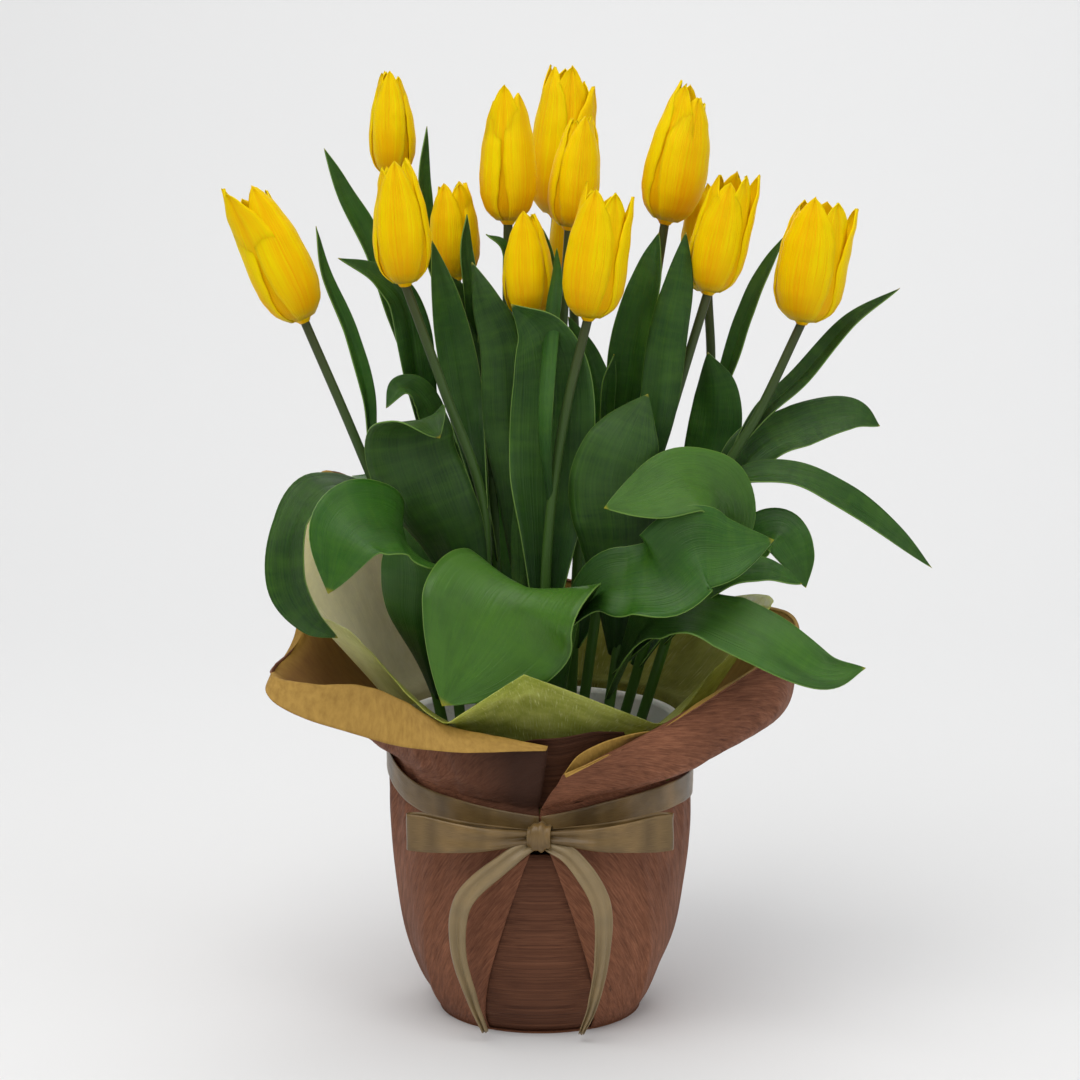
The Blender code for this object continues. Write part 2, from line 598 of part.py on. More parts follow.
WRAP_BASE_R = 57.0
WRAP_R = 76.0
WRAP_STATIONS = [
    {"turn": (6, 105, -85), "top": (3, 124, -89), "end": (1, 118, -94)},
    {"turn": (-38, 112, -76), "top": (-48, 138, -80), "end": (-46, 124, -92)},
    {"turn": (-66, 124, -55), "top": (-82, 156, -58), "end": (-86, 131, -72)},
    {"turn": (-94, 136, -22), "top": (-132, 162, -22), "end": (-136, 152, -34)},
    {"turn": (-100, 160, 16), "top": (-116, 186, 20), "end": (-122, 186, 18)},
    {"turn": (-88, 190, 54), "top": (-109, 260, 70), "end": (-112, 262, 73)},
    {"turn": (-46, 180, 80), "top": (-58, 237, 94), "end": (-59, 240, 96)},
    {"turn": (0, 168, 86), "top": (2, 211, 100), "end": (2, 214, 101)},
    {"turn": (52, 165, 78), "top": (64, 199, 92), "end": (65, 202, 93)},
    {"turn": (100, 160, 46), "top": (120, 192, 54), "end": (122, 195, 56)},
    {"turn": (122, 148, 8), "top": (125, 174, 10), "end": (128, 177, 10)},
    {"turn": (130, 146, -34), "top": (111, 167, -38), "end": (114, 170, -41)},
    {"turn": (76, 116, -74), "top": (60, 136, -82), "end": (63, 136, -88)},
    {"turn": (5, 102, -92), "top": (10, 112, -97), "end": (13, 106, -103)},
]
WRAP_COLUMNS = 40
RIBBON_Z = [112, 117, 122, 131, 131, 128, 125, 122, 120, 119, 119, 120, 118, 112]
NECK_RISE = 10.0               # how far the paper stays gathered above the ribbon's middle
WING_EDGE_LOW = 30.0           # degrees between each wing's lower corner and the front
WING_EDGE_KNOT = 0.4           # and between the wings' edges and the front at the ribbon


def wing_azimuth(a, s):
    """The compass angle of the sheet at share a of the way round; s is 0 at its foot and 1 at the ribbon."""
    edge = WING_EDGE_LOW + (WING_EDGE_KNOT - WING_EDGE_LOW) * s
    return -90 - edge - (360 - 2 * edge) * a


def bucket_radius(s):
    """The wrap's radius from its foot to the ribbon."""
    return profile_at([(0, WRAP_BASE_R), (0.12, WRAP_BASE_R + 6.5), (0.4, WRAP_R - 4), (0.75, WRAP_R), (1, WRAP_R)], s)


def wrap_point(a, row):
    """Rows 0 to 5 climb the bucket to the ribbon, 6 is above it, 7 and 8 the wall, 9 the top, 10 and 11 the flap."""
    knot_z = smooth_at(RIBBON_Z, a)
    if row <= 5:
        s = [0, 0.1, 0.3, 0.55, 0.8, 1.0][row]
        return polar(wing_azimuth(a, s), bucket_radius(s), SHEET / 2 + (knot_z - SHEET / 2) * s)
    neck = polar(wing_azimuth(a, 1), WRAP_R, knot_z + NECK_RISE)
    if row == 6:
        return neck
    turn, top, end = (smooth_at([at(*station[key]) for station in WRAP_STATIONS], a) for key in ("turn", "top", "end"))
    if row == 7:
        return turn * 0.75 + neck * 0.25
    if row == 8:
        return turn * 0.5 + top * 0.5
    if row == 9:
        return top
    return end if row == 11 else top.lerp(end, 0.45) + Vector((0, 0, 0.1 * (end - top).length))


def make_wrap(finish):
    rows = [[wrap_point(j / WRAP_COLUMNS, row) for j in range(WRAP_COLUMNS + 1)] for row in range(12)]
    wings = sheet_solid("wrap_paper", rows, SHEET, finish)
    disc = tube("disc", [Vector((0, 0, 0)), Vector((0, 0, SHEET))], [WRAP_BASE_R + 1.6] * 2, 48)
    panel_rows = []
    for s in (0, 0.1, 0.3, 0.55, 0.85):
        spread = (WING_EDGE_LOW + 8) * (1 - s) + 3
        z = SHEET / 2 + (RIBBON_Z[0] - SHEET / 2) * s
        panel_rows.append([polar(-90 + spread * t / 3, bucket_radius(s) - SHEET - 0.8, z) for t in range(-3, 4)])
    panel = sheet_solid("panel", panel_rows, SHEET)
    return unite(wings, [disc, panel])


LINER_STATIONS = [
    {"turn": (-2, 143, -80), "top": (-8, 163, -102)},
    {"turn": (-36, 138, -66), "top": (-47, 138, -90)},
    {"turn": (-62, 146, -40), "top": (-90, 180, -40)},
    {"turn": (-80, 156, -6), "top": (-128, 210, 4)},
    {"turn": (-74, 170, 36), "top": (-101, 248, 54)},
    {"turn": (-40, 172, 66), "top": (-52, 225, 80)},
    {"turn": (0, 165, 76), "top": (0, 200, 88)},
    {"turn": (40, 165, 66), "top": (54, 196, 78)},
    {"turn": (74, 162, 36), "top": (110, 203, 44)},
    {"turn": (86, 150, -2), "top": (112, 192, 0)},
    {"turn": (64, 140, -40), "top": (86, 164, -36)},
    {"turn": (40, 132, -62), "top": (58, 138, -68)},
]
LINER_R = 73.7
LINER_COLUMNS = 36


def ring_at(stations, key, a):
    """A smooth closed curve through the stations' points."""
    points = [at(*station[key]) for station in stations]
    n = len(points)
    x = a * n
    i, f = int(x) % n, x - int(x)
    return smooth_at([points[(i + k) % n] for k in (-1, 0, 1, 2)], (1 + f) / 3)


def make_liner(finish):
    """A soft collar between the pot and the paper, with a loose top edge."""
    rows = []
    for s in range(6):
        row = []
        for j in range(LINER_COLUMNS):
            a = j / LINER_COLUMNS
            wall = polar(-90 - 360 * a, LINER_R, [100, 125, 150, 150, 150, 150][s])
            turn, top = ring_at(LINER_STATIONS, "turn", a), ring_at(LINER_STATIONS, "top", a)
            row.append([wall, wall, wall, wall * 0.25 + turn * 0.75, turn.lerp(top, 0.55), top][s])
        rows.append(row)
    return sheet_solid("liner", rows, SHEET, finish, closed=True)


RIBBON_WIDTH = 17.0


def ribbon_ring(a, lift, rise):
    """A point on the band round the wrap: lift is out from the paper, rise is up from its middle."""
    return polar(wing_azimuth(a, 1), WRAP_R + SHEET / 2 + GAP + lift, smooth_at(RIBBON_Z, a) + rise)


def strip(name, route, faces, widths, finish=None, closed=False):
    """A flat strip along the route; faces gives the way its flat side looks at each point."""
    rows = []
    n = len(route)
    for i in range(n):
        after = route[(i + 1) % n] if closed else route[min(i + 1, n - 1)]
        before = route[i - 1] if closed or i else route[0]
        edge = (after - before).cross(faces[i]).normalized()
        rows.append([route[i] - edge * widths[i] / 2, route[i], route[i] + edge * widths[i] / 2])
    if closed:
        columns = [[rows[i][k] for i in range(n)] for k in range(3)]
        return sheet_solid(name, columns, SHEET, finish, closed=True)
    return sheet_solid(name, rows, SHEET, finish)


def make_ribbon(finish):
    """The band round the wrap, with a knot, two flat loops and two tails."""
    lift = SHEET / 2
    rows = [[ribbon_ring(j / WRAP_COLUMNS, lift, rise) for j in range(WRAP_COLUMNS + 1)] for rise in (-6.5, 6.5)]
    band = sheet_solid("ribbon", rows, SHEET, finish)
    front = -(WRAP_R + 7)
    knot_z = RIBBON_Z[0] - 2
    knot = tube("knot", [Vector((-7, front + 1.5, knot_z)), Vector((0, front, knot_z)), Vector((7, front + 1.5, knot_z))],
                [5, 6.5, 5], 8)
    pieces = [knot]
    for way in (-1, 1):
        loop = [Vector((way * 3, front - 1.5, knot_z)), Vector((way * 30, front - 6, knot_z)),
                Vector((way * 58, front + 5, knot_z)), Vector((way * 64.5, front + 9, knot_z)),
                Vector((way * 58, front + 11.5, knot_z)), Vector((way * 34, front + 2.5, knot_z)),
                Vector((way * 3, front + 1.8, knot_z))]
        points = [smooth_at(loop, i / 9) for i in range(10)]
        sides = []
        for i, p in enumerate(points):
            along = points[min(i + 1, 9)] - points[max(i - 1, 0)]
            sides.append(Vector((0, 0, 1)).cross(along).normalized())
        pieces.append(strip("loop", points, sides, [RIBBON_WIDTH * (0.5 + 0.6 * min(1, abs(p.x) / 26)) for p in points]))
    tails = {
        -1: [(-4, 78, -84), (-16, 70, -88), (-38, 50, -84), (-41, 25, -78), (-34, 0, -70), (-27.5, -16, -64)],
        1: [(4, 78, -84), (18, 70, -88), (33, 48, -86), (32, 22, -80), (27, -2, -72), (21, -17, -65)],
    }
    for way, route in tails.items():
        points = [smooth_at([at(*p) for p in route], i / 9) for i in range(10)]
        away = [Vector((p.x * 0.6, p.y, 0)).normalized() for p in points]
        pieces.append(strip("tail", points, away, [9, 13, 15, 14, 12, 10, 8, 6.5, 5, 3.5]))
    return unite(band, pieces)


def clear_scene():
    for old in list(bpy.data.objects):
        bpy.data.objects.remove(old)


def main():
    clear_scene()
    green = material("leaf_green", GREEN, 0.45)
    yellow = material("petal_yellow", YELLOW, 0.5)
    for name, plant in PLANTS.items():
        make_plant(f"plant_{name}", plant, green)
        make_bloom(f"bloom_{name}", plant["bloom"], yellow)
    make_pot(material("pot_plastic", POT_WHITE, 0.5))
    make_soil(material("soil", SOIL_BROWN, 0.95))
    make_wrap(material("wrap_paper", BROWN_PAPER, 0.8))
    make_liner(material("liner", LINER_GREEN, 0.7))
    make_ribbon(material("ribbon", RIBBON_GOLD, 0.35))


main()
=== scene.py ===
import math
import random

import bpy
from mathutils import Matrix, Vector, noise


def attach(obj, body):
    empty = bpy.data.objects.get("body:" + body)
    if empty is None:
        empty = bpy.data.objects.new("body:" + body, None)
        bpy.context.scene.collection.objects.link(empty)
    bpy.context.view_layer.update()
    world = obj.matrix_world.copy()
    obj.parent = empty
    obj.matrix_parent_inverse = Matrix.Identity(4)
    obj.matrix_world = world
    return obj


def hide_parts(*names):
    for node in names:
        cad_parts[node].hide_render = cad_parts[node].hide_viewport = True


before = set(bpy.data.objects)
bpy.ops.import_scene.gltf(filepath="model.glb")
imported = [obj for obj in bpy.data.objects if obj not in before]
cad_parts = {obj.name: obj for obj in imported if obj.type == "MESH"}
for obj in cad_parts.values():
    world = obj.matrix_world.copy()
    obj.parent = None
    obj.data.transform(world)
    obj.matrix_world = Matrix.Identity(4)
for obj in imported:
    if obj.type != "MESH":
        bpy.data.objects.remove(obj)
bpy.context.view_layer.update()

# Yellow tulips in a wrapped pot. Lengths in the tables are millimetres; the front is -Y.

mm = 0.001

# the front view that the plant's points were measured in
view = {"distance": 1500.0, "tilt": 10.0, "aimHeight": 240.0, "aimV": 230.0}


def at(u, v, d):
    # u right of the pot's axis and v above its foot in the front view, d behind the axis
    tilt = math.radians(view["tilt"])
    eye = Vector((0, -view["distance"] * math.cos(tilt), view["aimHeight"] + view["distance"] * math.sin(tilt)))
    seen = Vector((u, 0, view["aimHeight"])) + Vector((0, math.sin(tilt), math.cos(tilt))) * (v - view["aimV"])
    return eye + (seen - eye) * ((d - eye.y) / (seen.y - eye.y))


def polar(angle, radius, z):
    return Vector((radius * math.cos(math.radians(angle)), radius * math.sin(math.radians(angle)), z))


def spaced(count, low=0.0, high=1.0):
    # evenly spaced numbers, with both ends
    return [low + (high - low) * k / count for k in range(count + 1)]


def noiseAt(x, y, z):
    return noise.noise(Vector((x, y, z)))


def smoothAt(knots, s):
    # a smooth curve through evenly counted knots, s from 0 to 1
    last = len(knots) - 1
    x = min(max(s, 0.0), 1.0) * last
    i = min(int(x), last - 1)
    f = x - i
    p1, p2 = knots[i], knots[i + 1]
    p0 = knots[i - 1] if i > 0 else p1 + (p1 - p2)
    p3 = knots[i + 2] if i + 2 <= last else p2 + (p2 - p1)
    return 0.5 * (2 * p1 + f * (p2 - p0) + f * f * (2 * p0 - 5 * p1 + 4 * p2 - p3)
                  + f ** 3 * (3 * p1 - 3 * p2 + p3 - p0))


def readCurve(pairs, x):
    # a smooth value from (x, value) pairs
    if x <= pairs[0][0]:
        return pairs[0][1]
    for (x0, y0), (x1, y1) in zip(pairs, pairs[1:]):
        if x <= x1:
            f = (x - x0) / (x1 - x0)
            f = f * f * (3 - 2 * f) * 0.5 + f * 0.5
            return y0 + (y1 - y0) * f
    return pairs[-1][1]


def lengthOf(points):
    return sum((b - a).length for a, b in zip(points, points[1:]))


def spreadAlong(knots, count):
    # evenly spaced points on the smooth curve through the knots
    points = [smoothAt(knots, s) for s in spaced(160)]
    lengths = [0.0]
    for before, after in zip(points, points[1:]):
        lengths.append(lengths[-1] + (after - before).length)
    even, k = [], 0
    for i in range(count):
        want = lengths[-1] * i / (count - 1)
        while k < len(points) - 2 and lengths[k + 1] < want:
            k += 1
        span = max(lengths[k + 1] - lengths[k], 1e-9)
        even.append(points[k].lerp(points[k + 1], (want - lengths[k]) / span))
    return even


def directionAt(points, i):
    return points[min(i + 1, len(points) - 1)] - points[max(i - 1, 0)]


def deselectAll():
    if bpy.context.object and bpy.context.object.mode != "OBJECT":
        bpy.ops.object.mode_set(mode="OBJECT")
    bpy.ops.object.select_all(action="DESELECT")


def pick(piece):
    deselectAll()
    piece.select_set(True)
    bpy.context.view_layer.objects.active = piece


def finishModifier(piece, modifier):
    pick(piece)
    bpy.ops.object.modifier_apply(modifier=modifier.name)


def setField(piece, name, values):
    # a number kept at each vertex; one value or one per vertex
    layer = piece.data.attributes.new(name, "FLOAT", "POINT")
    for k, item in enumerate(layer.data):
        item.value = values[k] if isinstance(values, list) else values


def dress(piece, skins, slot=0):
    # every face takes the skin at that slot
    for skin in skins:
        piece.data.materials.append(skin)
    for face in piece.data.polygons:
        face.material_index = slot


def growSheet(name, rows, width, length, tone=0.5):
    # a grid primitive laid on rows of points in millimetres; its UV map is in metres
    deselectAll()
    across, along = len(rows[0]) - 1, len(rows) - 1
    bpy.ops.mesh.primitive_grid_add(x_subdivisions=across, y_subdivisions=along, size=2)
    sheet = bpy.context.object
    sheet.name = name
    shares = []
    for vertex in sheet.data.vertices:
        i = round((vertex.co.y + 1) / 2 * along)
        j = round((vertex.co.x + 1) / 2 * across)
        shares.append((vertex.co.x, (vertex.co.y + 1) / 2))
        vertex.co = rows[i][j] * mm
    for corner in sheet.data.uv_layers.active.data:
        corner.uv = ((corner.uv.x - 0.5) * width * mm, corner.uv.y * length * mm)
    setField(sheet, "across", [share[0] for share in shares])
    setField(sheet, "along", [share[1] for share in shares])
    setField(sheet, "tone", tone)
    bpy.ops.object.mode_set(mode="EDIT")
    bpy.ops.mesh.select_all(action="SELECT")
    bpy.ops.mesh.remove_doubles(threshold=0.00001)
    bpy.ops.object.mode_set(mode="OBJECT")
    return sheet


def thicken(piece, thickness, backSlot=0):
    # the sheet stays in the middle of its thickness; its back takes the skin backSlot further on
    solidify = piece.modifiers.new("thickness", "SOLIDIFY")
    solidify.thickness = thickness * mm
    solidify.offset = 0
    solidify.material_offset = backSlot
    finishModifier(piece, solidify)
    pick(piece)
    bpy.ops.object.shade_smooth()


def joinPieces(name, pieces):
    deselectAll()
    for piece in pieces:
        piece.select_set(True)
    bpy.context.view_layer.objects.active = pieces[0]
    bpy.ops.object.join()
    joined = bpy.context.object
    joined.name = name
    joined.data.name = name
    return joined


def standsFor(piece, slot, *nodes):
    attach(piece, "root")
    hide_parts(*nodes)


# Materials

white, black = (1, 1, 1), (0, 0, 0)


def grey(value):
    return (value, value, value)


def newMaterial(name):
    material = bpy.data.materials.new(name)
    material.use_nodes = True
    return material, material.node_tree


def setSocket(tree, socket, value):
    # a number, a colour, or the output of another node
    if isinstance(value, bpy.types.NodeSocket):
        tree.links.new(value, socket)
    else:
        socket.default_value = (*value, 1) if socket.type == "RGBA" else value


def addNode(tree, kind, inputs, output=0, **settings):
    node = tree.nodes.new("ShaderNode" + kind)
    for key, value in settings.items():
        setattr(node, key, value)
    for key, value in inputs.items():
        setSocket(tree, node.inputs[key], value)
    return node.outputs[output]


def placeOn(tree, kind="Object"):
    return addNode(tree, "TexCoord", {}, kind)


def readAttribute(tree, name):
    return addNode(tree, "Attribute", {}, "Fac", attribute_name=name)


def onSheet(tree):
    # across is -1 and 1 at a sheet's edges, along is 0 at its root and 1 at its tip; the three give its place
    parts = [readAttribute(tree, name) for name in ("across", "along", "tone")]
    return (*parts, addNode(tree, "CombineXYZ", dict(enumerate(parts))))


def stretched(tree, place, scale, turn=0.0):
    return addNode(tree, "Mapping", {"Vector": place, "Scale": scale, "Rotation": (0, 0, math.radians(turn))})


def addNoise(tree, place, scale=1.0, detail=4.0, roughness=0.55, stretch=None, turn=0.0):
    if stretch:
        place = stretched(tree, place, stretch, turn)
    return addNode(tree, "TexNoise", {"Vector": place, "Scale": scale, "Detail": detail, "Roughness": roughness})


def addMath(tree, operation, first, second=0.0, clamp=False):
    return addNode(tree, "Math", {0: first, 1: second}, operation=operation, use_clamp=clamp)


def addRamp(tree, factor, stops):
    ramp = addNode(tree, "ValToRGB", {0: factor}).node
    elements = ramp.color_ramp.elements
    while len(elements) < len(stops):
        elements.new(0.5)
    for element, (place, colour) in zip(elements, stops):
        element.position = place
        element.color = (*colour, 1)
    return ramp.outputs["Color"]


def fade(tree, factor, none, full):
    # black where the factor is at none, white where it is at full, whichever is larger
    return addRamp(tree, factor, sorted([(none, black), (full, white)]))


def blend(tree, factor, first, second, way="MIX"):
    return addNode(tree, "Mix", {0: factor, 6: first, 7: second}, 2, data_type="RGBA", blend_type=way)


def tint(tree, base, mask, strength, colour):
    return blend(tree, addMath(tree, "MULTIPLY", mask, strength), base, colour)


def addTints(tree, base, colours, tints):
    # each tint: what it follows, where it is none and full, its strength and its colour
    for factor, none, full, strength, colour in tints:
        base = tint(tree, base, fade(tree, factor, none, full), strength, colours[colour])
    return base


def addBump(tree, height, distance, strength, under=None):
    inputs = {"Height": height, "Distance": distance, "Strength": strength}
    if under:
        inputs["Normal"] = under
    return addNode(tree, "Bump", inputs)


def finishSkin(material, base, normal, roughness, specular=0.5, sunk=None, **more):
    # sunk is the light that goes in: its share, how far in red, green and blue, and the scale of that
    values = {"Base Color": base, "Normal": normal, "Roughness": roughness, "Specular IOR Level": specular, **more}
    if sunk:
        values["Subsurface Weight"], values["Subsurface Radius"], values["Subsurface Scale"] = sunk
    shader = material.node_tree.nodes["Principled BSDF"]
    for name, value in values.items():
        if value is not None:
            setSocket(material.node_tree, shader.inputs[name], value)
    return material


leafColours = {"dark": (0.006, 0.028, 0.004), "green": (0.02, 0.092, 0.008), "light": (0.075, 0.18, 0.012),
               "pale": (0.12, 0.24, 0.03), "bloom": (0.055, 0.12, 0.028), "margin": (0.2, 0.33, 0.07),
               "tip": (0.5, 0.4, 0.03)}


def makeLeafMaterial(name, powder, roughness):
    material, tree = newMaterial(name)
    across, along, tone, place = onSheet(tree)
    # parallel veins follow the leaf's shape
    veins = addNoise(tree, place, 2.2, 3.0, 0.6, (11, 0.7, 3))
    fine = addNoise(tree, place, 2.0, 2.0, 0.5, (34, 1.2, 3))
    # cross bands that lighten the leaf: painted sheen over its ripples
    bands = addNoise(tree, place, 1.0, 3.0, 0.6, (0.5, 26, 3))
    # dark patches: painted shade
    shadeMottle = addNoise(tree, place, stretch=(1.6, 4.5, 5))
    cloudy = addNoise(tree, placeOn(tree), 24)
    base = blend(tree, tone, leafColours["dark"], leafColours["green"])
    # a tone above 1 makes a paler leaf
    base = blend(tree, addMath(tree, "SUBTRACT", tone, 1.0, True), base, leafColours["pale"])
    # the last three: deep green towards the root, painted shade deep inside the plant; thin pale margins, partly a
    # painted highlight along the edges; a yellowed tip
    base = addTints(tree, base, leafColours, [
        (veins, 0.3, 0.75, 0.34, "light"), (bands, 0.42, 0.7, 0.3, "light"), (shadeMottle, 0.55, 0.32, 0.42, "dark"),
        (cloudy, 0.4, 0.72, powder, "bloom"), (along, 0.34, 0.08, 0.7, "dark"),
        (addMath(tree, "ABSOLUTE", across), 0.985, 0.998, 0.6, "margin"), (along, 0.98, 1.0, 0.7, "tip")])
    rough = addNode(tree, "Math", {0: cloudy, 1: 0.22, 2: roughness}, operation="MULTIPLY_ADD")
    normal = addBump(tree, fine, 0.0003, 0.35, addBump(tree, veins, 0.0009, 0.5))
    return finishSkin(material, base, normal, rough, 0.24, (0.18, (0.5, 1.0, 0.12), 0.0022))


stemColours = {"low": (0.035, 0.1, 0.007), "high": (0.032, 0.06, 0.012), "flush": (0.04, 0.034, 0.012),
               "powder": (0.12, 0.2, 0.06)}


def makeStemMaterial():
    material, tree = newMaterial("tulip_stem")
    lines = addNoise(tree, placeOn(tree), detail=3.0, stretch=(900, 900, 25))
    base = addRamp(tree, readAttribute(tree, "along"), [(0.25, stemColours["low"]), (0.75, stemColours["high"]),
                                                        (1.0, stemColours["flush"])])
    base = tint(tree, base, lines, 0.35, stemColours["low"])
    base = tint(tree, base, addNoise(tree, placeOn(tree), 60, 3.0), 0.12, stemColours["powder"])
    normal = addBump(tree, lines, 0.0003, 0.4)
    return finishSkin(material, base, normal, 0.45, 0.3, (0.12, (0.5, 1.0, 0.12), 0.002))


petalColours = {"yellow": (0.98, 0.5, 0.0), "bright": (1.0, 0.75, 0.0), "deep": (0.78, 0.17, 0.0),
                "foot": (0.6, 0.5, 0.02)}


def makePetalMaterial(name, roughness):
    material, tree = newMaterial(name)
    across, along, tone, place = onSheet(tree)
    outwards = addMath(tree, "ABSOLUTE", across)
    ribs = addNoise(tree, place, 2.4, 4.0, 0.62, (9, 0.6, 7))
    fine = addNoise(tree, place, 2.0, 2.0, 0.5, (42, 1.4, 7))
    base = blend(tree, fade(tree, ribs, 0.32, 0.66), petalColours["yellow"], petalColours["bright"])
    # painted shade: deeper orange down the creased middle and towards the foot; a painted highlight brightens the
    # edges; a green-yellow heel
    base = addTints(tree, base, petalColours, [
        (outwards, 0.35, 0.0, 0.16, "deep"), (along, 0.5, 0.06, 0.36, "deep"), (outwards, 0.55, 1.0, 0.6, "bright"),
        (along, 0.1, 0.0, 0.6, "foot")])
    base = tint(tree, base, tone, 0.18, petalColours["deep"])
    normal = addBump(tree, fine, 0.0002, 0.4, addBump(tree, ribs, 0.001, 0.6))
    return finishSkin(material, base, normal, roughness, 0.06, (0.3, (1.0, 0.6, 0.02), 0.003))


paperColours = {"brown": (0.215, 0.083, 0.042), "red": (0.3, 0.125, 0.064), "dark": (0.125, 0.046, 0.024),
                "rolled": (0.045, 0.018, 0.01), "tan": (0.45, 0.27, 0.062), "tanShade": (0.31, 0.175, 0.038),
                "hollowShade": (0.17, 0.075, 0.032)}


def makePaperMaterial(name, grainTurn, shade, rolled=False):
    # brown with a fine crepe; its grain leans grainTurn degrees, the other way on the other half of the sheet
    material, tree = newMaterial(name)
    right, up = addNode(tree, "SeparateXYZ", {0: placeOn(tree, "UV")}).node.outputs[:2]
    square = addMath(tree, "MULTIPLY", right, right)
    fromMiddle = addMath(tree, "SQRT", addMath(tree, "ADD", square, 0.004))
    grain = stretched(tree, addNode(tree, "CombineXYZ", {0: fromMiddle, 1: up}), white, grainTurn)
    crepe = addNoise(tree, grain, 1.0, 4.0, 0.65, (1300, 150, 1))
    bands = addNoise(tree, grain, 1.0, 4.0, 0.6, (330, 42, 1))
    base = addRamp(tree, crepe, [(0.3, paperColours["dark"]), (0.5, paperColours["brown"]),
                                 (0.72, paperColours["red"])])
    worn = addRamp(tree, bands, [(0.34, (0.74, 0.72, 0.72)), (0.5, grey(0.93)), (0.68, (1.12, 1.11, 1.1))])
    base = blend(tree, 0.8, base, worn, "MULTIPLY")
    # mottled, and scaled by shade: the panel and the tuck are darker copies of this paper, painted shade
    shadeMottle = addRamp(tree, addNoise(tree, placeOn(tree), 16), [
        (0.35, (0.78 * shade, 0.76 * shade, 0.76 * shade)), (0.65, grey(1.08 * shade))])
    base = blend(tree, 1.0, base, shadeMottle, "MULTIPLY")
    if rolled:
        # painted shade, deeper where the left wing rolls in above the knot
        side = fade(tree, readAttribute(tree, "across"), 0.76, 0.95)
        base = tint(tree, base, side, fade(tree, readAttribute(tree, "along"), 0.42, 0.56), paperColours["rolled"])
    rough = addRamp(tree, bands, [(0.3, grey(0.72)), (0.7, grey(0.58))])
    normal = addBump(tree, bands, 0.0015, 0.5, addBump(tree, crepe, 0.0006, 0.7))
    return finishSkin(material, base, normal, rough, 0.16)


def makePaperInside():
    material, tree = newMaterial("paper_inside")
    fibre = addNoise(tree, placeOn(tree, "UV"), 1.0, 5.0, 0.6, (420, 90, 1))
    base = addRamp(tree, fibre, [(0.3, paperColours["tanShade"]), (0.65, paperColours["tan"])])
    base = tint(tree, base, addNoise(tree, placeOn(tree), 22, 3.0), 0.35, paperColours["tanShade"])
    # painted shade with a painted reddish reflection from the brown side, in the hollow under the turned-down flap
    side = fade(tree, readAttribute(tree, "across"), 0.25, 0.42)
    under = fade(tree, readAttribute(tree, "along"), 0.83, 0.77)
    base = tint(tree, base, addMath(tree, "MULTIPLY", side, under), 0.7, paperColours["hollowShade"])
    return finishSkin(material, base, addBump(tree, fibre, 0.0004, 0.35), 0.62, 0.16)


linerColours = {"green": (0.27, 0.3, 0.035), "pale": (0.46, 0.49, 0.11), "thread": (0.62, 0.63, 0.27),
                "lightThrough": (1.0, 0.93, 0.52), "low": (0.35, 0.34, 0.3)}


def makeLinerMaterial():
    # thin nonwoven: pressed fibres, cloudy and half see-through
    material, tree = newMaterial("liner_nonwoven")
    place = placeOn(tree, "UV")
    cloudy = addNoise(tree, place, 45, 5.0, 0.65)
    fibres = addMath(tree, "MULTIPLY", *(addNoise(tree, place, detail=3.0, stretch=(1500, 120, 1), turn=turn)
                                         for turn in (25, -40)))
    threads = fade(tree, fibres, 0.26, 0.42)
    base = addRamp(tree, cloudy, [(0.35, linerColours["green"]), (0.7, linerColours["pale"])])
    base = tint(tree, base, threads, 0.5, linerColours["thread"])
    # painted light: washed out where the light comes through at the left rear; painted shade: deeper low down, inside
    # the paper
    left = addMath(tree, "MULTIPLY", readAttribute(tree, "across"), -1.0)
    side = addRamp(tree, left, [(0.3, black), (0.5, white), (0.8, white), (0.95, black)])
    base = tint(tree, base, side, 0.9, linerColours["lightThrough"])
    low = addRamp(tree, readAttribute(tree, "along"), [(0.35, linerColours["low"]), (0.8, white)])
    base = blend(tree, 1.0, base, low, "MULTIPLY")
    cover = addRamp(tree, cloudy, [(0.3, grey(0.58)), (0.7, grey(0.85))])
    alpha = addMath(tree, "MAXIMUM", cover, addMath(tree, "MULTIPLY", threads, 0.97))
    normal = addBump(tree, fibres, 0.0004, 0.5)
    return finishSkin(material, base, normal, 0.6, 0.15, (0.5, (1.0, 1.0, 0.5), 0.004), Alpha=alpha)


ribbonColours = {"gold": (0.16, 0.1, 0.036), "light": (0.23, 0.15, 0.06), "dark": (0.11, 0.066, 0.023),
                 "lit": (0.34, 0.26, 0.14)}


def makeRibbonMaterial():
    # satin: fine threads across, long floats along, a firmer edge
    material, tree = newMaterial("ribbon_satin")
    place = placeOn(tree, "UV")
    threads, picks, sweep = (addNoise(tree, place, detail=2.0, stretch=stretch)
                             for stretch in ((5200, 160, 1), (200, 4200, 1), (14, 42, 1)))
    base = addRamp(tree, threads, [(0.3, ribbonColours["dark"]), (0.55, ribbonColours["gold"]),
                                   (0.8, ribbonColours["light"])])
    base = tint(tree, base, addNoise(tree, place, 60, 3.0), 0.3, ribbonColours["gold"])
    outwards = addMath(tree, "ABSOLUTE", readAttribute(tree, "across"))
    base = tint(tree, base, fade(tree, outwards, 0.9, 0.95), 0.35, ribbonColours["light"])
    # painted sheen: long lighter and darker sweeps along the satin
    sheen = addRamp(tree, sweep, [(0.34, (0.62, 0.6, 0.58)), (0.5, white), (0.66, (1.45, 1.42, 1.4))])
    base = blend(tree, 1.0, base, sheen, "MULTIPLY")
    # painted highlight: the tails blend towards the lit colour by their tone
    base = blend(tree, readAttribute(tree, "tone"), base, ribbonColours["lit"])
    normal = addBump(tree, picks, 0.0001, 0.4, addBump(tree, threads, 0.00012, 0.5))
    return finishSkin(material, base, normal, 0.3, 0.35, Anisotropic=0.5)


potColours = {"plastic": (0.78, 0.77, 0.72), "dirt": (0.3, 0.24, 0.17)}


